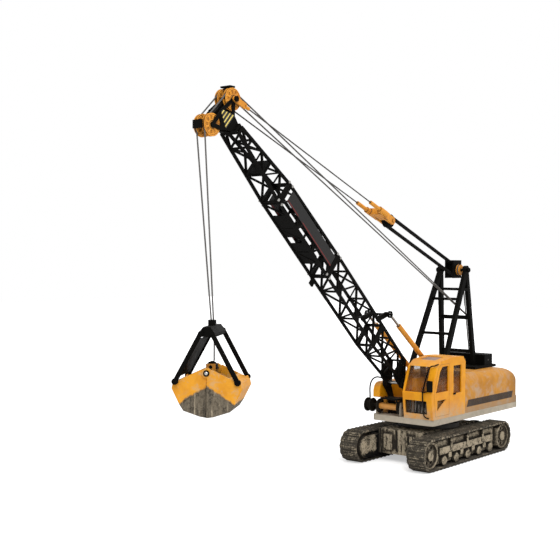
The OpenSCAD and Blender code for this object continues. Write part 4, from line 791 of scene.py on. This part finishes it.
def make_house_finish():
    """Engine house: yellow in two tones, dust in broad patches that thin out towards the top, a tan film at the
    foot, a dull brown painted shade on the rear, where the house curves away from the light, and a plain dark
    stripe along each side, worn in patches. The stripe's ends lean: they are places of x + 0.35 z."""
    t = Finish("yellow_house")
    place = t.coords()
    axis = t.axes(place)
    moulded = t.group(GRAIN, Scale=40.0)
    edges = t.group(EDGES, Radius=0.6 * MM)
    film = t.group(DUST, Low=0.080, High=0.185, Patch=30.0, Amount=1.2, Top=0.15)["Mask"]
    blotch = t.ramp(t.noise(place, 38.0, 6.0, 0.66, 0.5), 0.43, 0.56)
    foot = t.ramp(axis["Z"], 0.104, 0.084)
    # Painted shade: the rear turns dull brown where the house curves away from the light.
    rear = t.ramp(axis["X"], SLEW_X - 0.19, SLEW_X - 0.245)
    paint = t.mix(moulded["Tone"], (188, 122, 8), (206, 138, 12))
    paint = t.mix(t.times(edges["Mask"], 0.5), paint, TAN)
    dusty = t.mix(t.times(film, t.plus(0.25, t.times(blotch, 0.75))), paint, (190, 162, 136))
    dusty = t.mix(t.times(foot, 0.6), dusty, (160, 138, 112))
    dusty = t.mix(t.times(rear, 0.6), dusty, (122, 94, 60))
    beside = t.ramp(t.math("ABSOLUTE", t.axes(t.add("NewGeometry").outputs["Normal"])["Y"]), 0.6, 0.8)
    tall = t.band(axis["Z"], 0.092, 0.105, 0.5 * MM)
    long = t.band(t.plus(axis["X"], t.times(axis["Z"], 0.35)), SLEW_X - 0.182, SLEW_X, 1.0 * MM)
    kept = t.ramp(t.noise(place, 500.0, 4.0, 0.7), 0.30, 0.60, 0.84, 0.97)
    stripe = t.times(t.times(beside, tall), t.times(long, kept))
    colour = t.mix(stripe, dusty, (44, 41, 40))
    t.coat(colour, t.plus(0.5, t.times(film, 0.3), clamp=True), 0.25)
    t.bump(t.plus(moulded["Height"], film), 0.12, 0.2 * MM, edges["Normal"])
    return t.material


YELLOW_HOUSE = make_house_finish()


def make_shell_finish():
    """Grab shells: yellow with tan scuffs above a line that falls from the hinge to the corners, and grey
    dried mud in upright runs under it. The line is z = top - slope |v|, v across the hinge, roughened."""
    t = Finish("shell_yellow")
    x, y = GRAB_AT[:2]
    shift = (-(x * GRAB_COS + y * GRAB_SIN), x * GRAB_SIN - y * GRAB_COS, 0)
    axis = t.axes(t.placed(shift=shift, turn=(0, 0, -GRAB_TURN)))
    top, slope = 0.186, 0.6
    line = t.minus(top, t.times(t.math("ABSOLUTE", axis["Y"]), slope))
    place = t.coords()
    under = t.minus(t.plus(line, t.ragged(place, 90.0, 0.012)), axis["Z"])
    soiled = t.ramp(under, -0.001, 0.003)
    moulded = t.group(GRAIN, Scale=60.0)
    edges = t.group(EDGES, Radius=1.1 * MM)
    mud = t.group(MUD, Scale=85.0, Amount=0.8)
    run = t.noise(t.placed(scale=(1, 1, 0.10)), 190.0, 4.0, 0.65)
    paint = t.mix(moulded["Tone"], (214, 142, 30), (232, 160, 36))
    scuff = t.ramp(t.noise(place, 70.0, 5.0, 0.7, 0.5), 0.50, 0.66)
    paint = t.mix(t.times(scuff, 0.7), paint, (206, 164, 112))
    paint = t.mix(t.times(edges["Mask"], 0.6), paint, (236, 200, 140))
    crust = t.mix(t.ramp(run, 0.38, 0.58), (34, 30, 25), (80, 71, 58))
    crust = t.mix(t.ramp(run, 0.58, 0.68), crust, MUD_LIGHT)
    crust = t.mix(t.times(mud["Mask"], 0.25), crust, mud["Colour"])
    crust = t.mix(t.times(edges["Mask"], 0.6), crust, MUD_LIGHT)
    t.coat(t.mix(soiled, paint, crust), t.plus(0.45, t.times(soiled, 0.35)), 0.3)
    t.bump(t.times(t.plus(mud["Height"], run), soiled), 0.5, 0.8 * MM, edges["Normal"])
    return t.material


SHELL_YELLOW = make_shell_finish()


def make_sign_finish():
    """Plain sign panel: black in two tones with a thin, worn dark-red line along its foot."""
    t = Finish("sign_black")
    shift = (-float(FOOT @ ALONG_BOOM), 0, -float(FOOT @ OVER_BOOM))
    height = t.axes(t.placed(shift=shift, turn=(0, BOOM_TURN, 0)))["Z"]
    moulded = t.group(GRAIN, Scale=50.0)
    base = t.mix(moulded["Tone"], (14, 13, 13), (24, 22, 21))
    line = t.times(t.band(height, 4.55 * MM, 6.45 * MM, 0.15 * MM), t.ramp(moulded["Tone"], 0.0, 0.6))
    colour = t.mix(line, base, (104, 26, 24))
    t.coat(colour, t.plus(0.36, t.times(moulded["Tone"], 0.14)), 0.3)
    t.bump(moulded["Height"], 0.08, 0.1 * MM)
    return t.material


SIGN_BLACK = make_sign_finish()


def make_hazard_finish():
    """Four stripes in pale yellow on black across the boom, by the panel's own map."""
    t = Finish("hazard_stripes")
    along = t.axes(t.add("UVMap", {"uv_map": "map"}).outputs[0])["X"]
    stripe = t.band(t.math("FRACT", t.times(along, 4.0)), 0.325, 0.675, 0.025)
    moulded = t.group(GRAIN, Scale=80.0)
    pale = t.mix(moulded["Tone"], (196, 172, 84), (232, 210, 112))
    t.coat(t.mix(stripe, DEEP_BLACK_AND_SHADE, pale), t.plus(0.4, t.times(moulded["Tone"], 0.15)))
    t.bump(moulded["Height"], 0.08, 0.1 * MM)
    return t.material


HAZARD = make_hazard_finish()


# Cable from the reel to the boss at the boom foot
CABLE_R = 1.3 * MM
CABLE_STEP = 0.8 * MM
CABLE_ROUTE = smooth_route([
    at(86, -72, 109), at(86.5, -72, 117), at(87, -72, 125), at(86.5, -71.5, 133), at(85, -70, 140),
    at(82.5, -67, 145), at(79.5, -62.5, 147.5), at(77, -57.5, 147.2), at(75.5, -53, 146.6),
    at(75.5, -49, 146.6)])


def add_cable():
    """Smooth tube along the cable's route; its length is that of the route."""
    parts = [tube(CABLE_ROUTE, CABLE_R, X_AXIS, sides=16, step=CABLE_STEP)]
    cable = riding(piece("reel_cable_tube", parts, ROPE_DARK), "upper", "reel_cable")


add_cable()


# Ropes

def touching(p, r_p, q, r_q):
    """Angle in degrees at which the line over two circles leaves them: the direction from p to q plus
    asin((r_q - r_p) / distance), plus a right angle."""
    d = q - p
    return math.degrees(math.atan2(d[2], d[0]) + math.asin((r_q - r_p) / math.hypot(d[0], d[2]))) + 90


HOIST_OUT = touching(GUIDE, GUIDE_ROPE_R, HEAD, PITCH_R)
HEAD_OUT = touching(HEAD, PITCH_R, NOSE, PITCH_R)
TAIL_OUT = touching(DRUM, DRUM_ROPE_R, GUIDE, GUIDE_ROPE_R)
LEAD_OUT = touching(DRUM, DRUM_ROPE_R, APEX, LEAD_ROPE_R)


def add_falls():
    """Four loops round the two sheave packs: out over the top, round the spreader, back below, round the
    gantry."""
    loops = []
    slope = math.degrees(math.atan2(LINE[2], LINE[0]))
    for groove in (-4.5, -1.5, 1.5, 4.5):
        y = (BOOM_Y + groove) * MM
        round_gantry = arc(APEX, LUFF_R, slope + 268, slope + 92, y)
        round_spreader = arc(SPREADER, LUFF_R, slope + 88, slope - 88, y)
        route = np.concatenate([round_gantry, round_spreader, round_gantry[:1]])
        loops.append(tube(route, FALLS_R, sides=12))
    falls = piece("luffing_falls", loops, ROPE_DARK)
    stretched(falls, "luff_falls", "luff_line", APEX, SPREADER, "falls")


# Ends of the pendants on the luffing line, from the gantry's sheaves and from the head's
YOKE_END = 326.5 * MM
LINK_END = 27.5 * MM


def add_pendants():
    """Two ropes from the yoke's prongs to the clevis links."""
    near, near_out = APEX + LINE * YOKE_END, 13.5 * MM * Y_AXIS
    far, far_out = HEAD - LINE * LINK_END, 14.6 * MM * Y_AXIS
    lines = [rope([near + s * near_out, far + s * far_out], PENDANT_R) for s in BOTH_SIDES]
    riding(piece("pendant_lines", lines, ROPE_MID), "luff_line", "pendants")


TAIL_Y = (BOOM_Y + 22, BOOM_Y + 24)
LEAD_Y = (BOOM_Y + 14.5) * MM
LEAD_WRAP = 290
NOSE_LEAVE = 12


def add_hoist_lines():
    """Two ropes from the guide bar to the head sheaves, the way over both sheave pairs, and the ends to the
    drum, with the lead rope round its sheave."""
    runs, over, tails = [], [], []
    for side, tail in zip(BOTH_SIDES, TAIL_Y):
        tail_y, head_y = tail * MM, sheave_y(side) * MM
        runs.append(wound((GUIDE, GUIDE_ROPE_R, HOIST_OUT, HOIST_OUT, tail_y, 1),
                          (HEAD, PITCH_R, HOIST_OUT, HOIST_OUT, head_y, 1)))
        over.append(wound((HEAD, PITCH_R, HOIST_OUT + 4, HEAD_OUT, head_y),
                          (NOSE, PITCH_R, HEAD_OUT, NOSE_LEAVE, head_y)))
        tails.append(wound((DRUM, DRUM_ROPE_R, TAIL_OUT, TAIL_OUT, tail_y, 1),
                           (GUIDE, GUIDE_ROPE_R, TAIL_OUT, HOIST_OUT - 3, tail_y)))
    tails.append(wound((DRUM, DRUM_ROPE_R, LEAD_OUT, LEAD_OUT, LEAD_Y - 4 * MM, 1),
                       (APEX, LEAD_ROPE_R, LEAD_OUT, LEAD_OUT - LEAD_WRAP, LEAD_Y, 60)))
    hoist = piece("hoist_lines", runs, ROPE_GREY)
    stretched(hoist, "hoist_feed", "hoist_run", GUIDE, HEAD, "hoist_ropes", "hoist_ends")
    riding(piece("head_lines", over, ROPE_GREY), "boom", "head_ropes")
    riding(piece("tail_lines", tails, ROPE_GREY), "upper", "rope_tails")


ROPE_CUTS = (0, 0.02, 0.12, 0.5, 0.88, 0.98, 1)
GRAB_EYE_Z = GRAB_Z + 17
EYE_HALF_GAP = 2.2 * MM


def step_place(share):
    """Place t between 0 and 1 at which the smooth step 3 t^2 - 2 t^3 has the given value."""
    return 0.5 - math.sin(math.asin(1 - 2 * share) / 3)


def add_grab_lines():
    """Two ropes that hang from the nose sheaves, and the closing rope between the grab's head and its block.
    The hanging ropes are cut into lengths. For a length from share p to share q of the way, the places where
    the blend's smooth step has p and q at its ends are worked out and handed on, and the length keeps its
    place."""
    foot = on_grab(0, 0, GRAB_EYE_Z)
    way = HANG - foot
    ends = []
    for side in BOTH_SIDES:
        top = np.array([HANG[0], sheave_y(side) * MM, NOSE[2]])
        ends.append((foot + side * EYE_HALF_GAP * Y_AXIS, top))
    for k, (p, q) in enumerate(zip(ROPE_CUTS, ROPE_CUTS[1:])):
        lines = [rope([low + p * (top - low), low + q * (top - low)]) for low, top in ends]
        span = (q - p) / (step_place(q) - step_place(p))
        start = foot + (p - step_place(p) * span) * way
        length = piece(f"grab_lines_{k + 1}", lines, ROPE_GREY)
        nodes = ["grab_ropes"] if k == 2 else []
        stretched(length, "grab_top", "grab_line", start, start + span * way, *nodes)
    turns = [rope(arc(NOSE, PITCH_R - 0.1 * MM, 34, 0, top[1])) for _, top in ends]
    riding(piece("nose_turns", turns, ROPE_GREY), "grab_line")
    low, high = on_grab(0, 3, HINGE_Z + 13.9), on_grab(0, 3, GRAB_Z - 5.2)
    closing = piece("closing_line", [rope([low, high])], ROPE_GREY)
    stretched(closing, "grab_block", "grab_top", low, high, "closing_rope")


add_falls()
add_pendants()
add_hoist_lines()
add_grab_lines()


# Sheaves of the head and the nose

def add_sheaves(name, centre, body, node):
    """Pair of pocketed wheels on both sides of the middle web."""
    wheels = [spoked_sheave(centre, sheave_y(side)) for side in BOTH_SIDES]
    riding(piece(name, wheels, YELLOW_GEAR), body, node)


add_sheaves("head_wheels", HEAD, "head_pair", "head_sheaves")
add_sheaves("nose_wheels", NOSE, "nose_pair", "nose_sheaves")


# Cab fittings
ROD_R = 1.2 * MM
SEAT_Y = 34.0
CAB_SIDE_Y = 63.5
ROOF_X, ROOF_Z = 63, 183.15
ROOF_RUN, ROOF_RISE = 43, 5.35
HATCH_DEPTH = 1.4


def add_cab_rails():
    """Bent wiper rail in front of the corner post, and the mirror on its arm."""
    rail = smooth_route([
        at(76, 64.6, 179), at(82, 60.5, 176.5), at(89, 54.5, 173), at(95.5, 49.8, 151), at(100.6, 47.5, 128),
        at(98.4, 47.5, 108), at(96, 47.5, 91), at(96, 51.5, 86.4), at(96, 57.5, 85)])
    parts = [tube(rail, ROD_R, Y_AXIS * 0.3 + X_AXIS, sides=14, step=1.2 * MM),
             tube([at(101, 46.5, 129.9), at(101, 60.5, 133.9)], ROD_R, X_AXIS, sides=14, step=1.2 * MM),
             rounded_box(at(101, 61.5, 141.9), (1.5, 6, 10), 1.45)]
    riding(piece("wiper_rail_and_mirror", parts, BLACK_PLASTIC), "upper", "cab_rails")


def add_seat():
    """Seat with a rounded cushion and back, dash with two levers."""
    parts = [rounded_box(at(19, SEAT_Y, 92), (16, 14, 10.5), 3),
             rounded_box(at(20, SEAT_Y, 106), (17.5, 15.5, 5), 4),
             rounded_box(at(4.5, SEAT_Y, 126), (4.5, 14.5, 24), 4, turn=math.radians(-8)),
             rounded_box(at(73, SEAT_Y, 99.5), (6.5, 17.5, 17.5), 2.5)]
    for side in BOTH_SIDES:
        y = SEAT_Y + 8 * side
        knob = at(66, y, 133)
        parts.append(tube([at(73, y, 115), knob], ROD_R, Y_AXIS, sides=12, step=1.0 * MM))
        parts.append(rounded_box(knob, (2.4, 2.4, 2.8), 2.2))
    riding(piece("seat_and_levers", parts, SEAT_BLACK), "upper", "cab_seat")


def add_console():
    """Yellow inner boxes under the windows, beside the seat, and a dark one behind the front side window."""
    parts = [rounded_box(at(46, 14.5, 117), (30, 5.5, 34), 2.5),
             rounded_box(at(46, 53, 102), (28, 5.5, 20), 2.5),
             rounded_box(at(19, 55.5, 116), (12, 3, 24), 2.5)]
    riding(piece("cab_console", parts, YELLOW_CAB), "upper")
    dark = [rounded_box(at(58, 52, 132), (15, 4, 16), 3)]
    riding(piece("cab_side_box", dark, SEAT_BLACK), "upper")


def add_door():
    """Thin seam round the door, proud of the cab's side, in a dark yellow that is a painted shadow line of
    the door's gap, and its handle.
    """
    outline = [(36, 87), (83, 87), (88.5, 127), (74.5, 171), (66, 177.5), (36, 177.5), (36, 87)]
    route = [at(x, CAB_SIDE_Y, z) for x, z in outline]
    seam = [tube(route, 0.22 * MM, Y_AXIS, sides=8, step=0.8 * MM)]
    riding(piece("door_seam", seam, DOOR_GAP_SHADE), "upper")
    handle = [rounded_box(at(17.6, CAB_SIDE_Y + 0.6, 122), (4.5, 0.9, 1.6), 0.8)]
    riding(piece("door_handle", handle, BLACK_PLASTIC), "upper")


def add_hatch():
    """Dusty pane in the roof's opening, parallel to the roof."""
    def roof(x, y):
        return at(x, y, ROOF_Z + (ROOF_X - x) / ROOF_RUN * ROOF_RISE - HATCH_DEPTH)
    points, faces, uv = panel([roof(27.6, 14.6), roof(58.6, 14.6), roof(58.6, 47.4), roof(27.6, 47.4)])
    pane = piece("roof_hatch", [(points, faces)], HATCH_DUST, uv=uv, flat=True)
    riding(walled(pane, 0.6 * MM), "upper")


# Levers: x and y of the foot, lean and height
PEDAL_Z = 92
PEDALS = ((82, 16, 2, 18), (83, 22, 1, 20), (82, 29, 3, 14), (84, 36, 0, 21), (82, 43, 2, 17))


def add_pedals():
    """Pale levers and pedal arms behind the lower front window."""
    parts = [tube([at(x, y, PEDAL_Z), at(x + lean, y + 2, PEDAL_Z + tall)], 0.9 * MM, X_AXIS, step=1.0 * MM)
             for x, y, lean, tall in PEDALS]
    riding(piece("cab_pedals", parts, LEVER_GREY), "upper")


def add_hinge_bolts():
    """Domed bolt heads on both ends of the grab's hinge pin."""
    axis = on_grab(1, 0, 0) - on_grab(0, 0, 0)
    dome = [(2.3, 0), (2.3, 0.3), (1.6, 0.7), (0.4, 0.9)]
    parts = [turned(dome, on_grab(side * 39.4, 0, HINGE_Z), side * axis) for side in BOTH_SIDES]
    riding(piece("hinge_bolts", parts, STEEL), "grab_block")


add_cab_rails()
add_hatch()
add_pedals()
add_hinge_bolts()
add_seat()
add_console()
add_door()


# Hazard plates on the boom head's side plates
HEAD_PLATE_Y = 12.75


def add_hazard_plates():
    """Slanted panel on the outer face of each side plate, a little proud of it."""
    for name, side in (("left_hazard_plate", 1), ("right_hazard_plate", -1)):
        y = side * HEAD_PLATE_Y
        corners = ((623.2, -13.5), (646.6, -3), (646.6, 1), (623.2, 14))
        points, faces, uv = panel([on_boom(a, h, y) for a, h in corners])
        plate = piece(name, [(points, faces)], HAZARD, uv=uv, flat=True)
        riding(walled(plate, 0.3 * MM, 0), "boom")


add_hazard_plates()


# Solids that keep their shape, with eased edges: their material and slot, and each node's width of edge
for material, slot, widths in (
        (YELLOW_CAB, "body_yellow", {"cab_shell": 1.6, "side_box": 1.2}),
        (YELLOW_HOUSE, "body_yellow", {"house": 1.0}),
        (YELLOW_GEAR, "body_yellow", {
            "spreader": 0.8, "clevis_links": 0.5, "backstop_barrels": 0.4, "lead_sheave": 0.3}),
        (DECK_GREY, "deck_grey", {"deck": 0.8}),
        (PLATE_GREY, "deck_grey", {"winch_plates": 0.5}),
        (BLACK_PLASTIC, "black_plastic", {
            "hood": 0.8, "gantry": 0.6, "gantry_head": 0.7, "grab_head": 0.8, "left_arms": 0.5,
            "right_arms": 0.5, "cable_reel": 0.4, "foot_bracket": 0.5, "boom_head": 0.3}),
        (MUDDY_WHEEL, "wheel", {
            "left_sprocket": 0.5, "right_sprocket": 0.5, "left_idler": 0.5, "right_idler": 0.5}),
        (MUDDY_BELT, "track", {"left_belt": 0.35, "right_belt": 0.35}),
        (MUDDY_CHASSIS, "chassis", {"chassis": 0.8})):
    for node, width in widths.items():
        eased(node, width, material)

# Places on the gantry head from its sheaves, before and after it is opened
ROOF_FRONT, ROOF_FRONT_OPEN, ROOF_LOW = 6.5, -6.0, 15.0
REAR_INSIDE, REAR_INSIDE_OPEN = -13.1, -14.4


def open_gantry_head():
    """The front edge of the gantry head's roof and the inside of its rear wall moved back on the copy, so
    that the falls clear them when the boom luffs."""
    mesh = bpy.data.objects["gantry_head_shape"].data
    place = np.empty(3 * len(mesh.vertices))
    mesh.vertices.foreach_get("co", place)
    place = place.reshape(-1, 3)
    off = (place - APEX) / MM
    front = (np.abs(off[:, 0] - ROOF_FRONT) < 0.3) & (off[:, 2] > ROOF_LOW)
    rear = np.abs(off[:, 0] - REAR_INSIDE) < 0.3
    place[front, 0] = APEX[0] + ROOF_FRONT_OPEN * MM
    place[rear, 0] = APEX[0] + REAR_INSIDE_OPEN * MM
    mesh.vertices.foreach_set("co", place.ravel())


open_gantry_head()

# Solids of two materials
for side in ("left", "right"):
    eased(side + "_shell", 0.4, SHELL_YELLOW, BLACK_PLASTIC, pin_ends)
    eased(side + "_track_frame", 0.6, MUDDY_FRAME, MUDDY_SHADED_PLATE, inner_plates)
eased("lower_block", 0.5, BLACK_PLASTIC, YELLOW_WINCH, block_body)
eased("backstop_rods", 0.0, STEEL, BLACK_PLASTIC, rod_eyes)
eased("winch_drum", 0.4, YELLOW_WINCH, BLACK_PLASTIC, drum_ends)

# Solids that are shown as they are
for material, names in (
        (BLACK_PLASTIC, ("boom_lower", "boom_middle", "boom_top", "gantry_sheaves", "spreader_sheaves",
                         "drive_units")),
        (RING_BLACK, ("slew_ring",)), (STEEL, ("boom_pins", "motors")), (IRON, ("counterweight",)),
        (SIGN_BLACK, ("sign_panels",)), (CAB_GLASS, ("cab_glazing",)), (PACK_BLUE, ("power_pack",)),
        (ROPE_GREY, ("hoist_drum", "luff_drum"))):
    for name in names:
        NODES[name].data.materials.clear()
        NODES[name].data.materials.append(material)


# Floor, light and background

def add_floor():
    """Flat pale sheet: it takes the shadow by diffuse light and adds white for the camera, more far away."""
    t = Finish("floor_white")
    t.tree.nodes.remove(t.shader)
    seen = t.add("LightPath").outputs["Is Camera Ray"]
    paper = t.add("BsdfDiffuse", Color=(0.9, 0.9, 0.9, 1)).outputs[0]
    away = t.add("VectorMath", {"operation": "LENGTH"}, Vector=t.coords()).outputs["Value"]
    white = t.ramp(away, 0.7, 2.2, 0.45, 1.0)
    glow = t.add("Emission", Color=(1, 1, 1, 1), Strength=t.times(seen, white)).outputs[0]
    both = t.add("AddShader")
    t.put(both.inputs[0], paper)
    t.put(both.inputs[1], glow)
    t.put(t.tree.nodes["Material Output"].inputs["Surface"], both.outputs[0])
    reach = 6.0
    corners = [(-reach, -reach, 0), (reach, -reach, 0), (reach, reach, 0), (-reach, reach, 0)]
    points, faces, _ = panel(corners, 3, 3)
    mesh = bpy.data.meshes.new("floor")
    mesh.from_pydata(points.tolist(), [], faces)
    mesh.materials.append(t.material)
    shown("floor", mesh)


def add_lamp(name, place, aim, size, power):
    """Square soft lamp at a place, turned to a point."""
    data = bpy.data.lights.new(name, "AREA")
    data.size = size
    data.energy = power
    lamp = shown(name, data)
    lamp.location = place
    lamp.rotation_euler = (Vector(aim) - Vector(place)).to_track_quat("-Z", "Y").to_euler()


def add_world():
    """White for the camera, reflections and glass, and a plain grey level as light."""
    world = bpy.data.worlds.new("world")
    SCENE.world = world
    world.use_nodes = True
    t = Tree(world.node_tree)
    path = t.add("LightPath").outputs
    mirrored = t.math("MAXIMUM", path["Is Glossy Ray"], path["Is Transmission Ray"])
    direct = t.math("MAXIMUM", path["Is Camera Ray"], mirrored)
    back = world.node_tree.nodes["Background"]
    back.inputs["Color"].default_value = (1, 1, 1, 1)
    t.put(back.inputs["Strength"], t.plus(0.5, t.times(direct, 0.5)))


add_floor()
add_lamp("key_lamp", (1.6, 1.5, 2.0), (0.0, 0.0, 0.25), 1.6, 42)
add_lamp("top_lamp", (-0.4, 0.6, 2.4), (0.0, 0.0, 0.2), 2.0, 24)
add_world()
SCENE.view_settings.view_transform = "Standard"
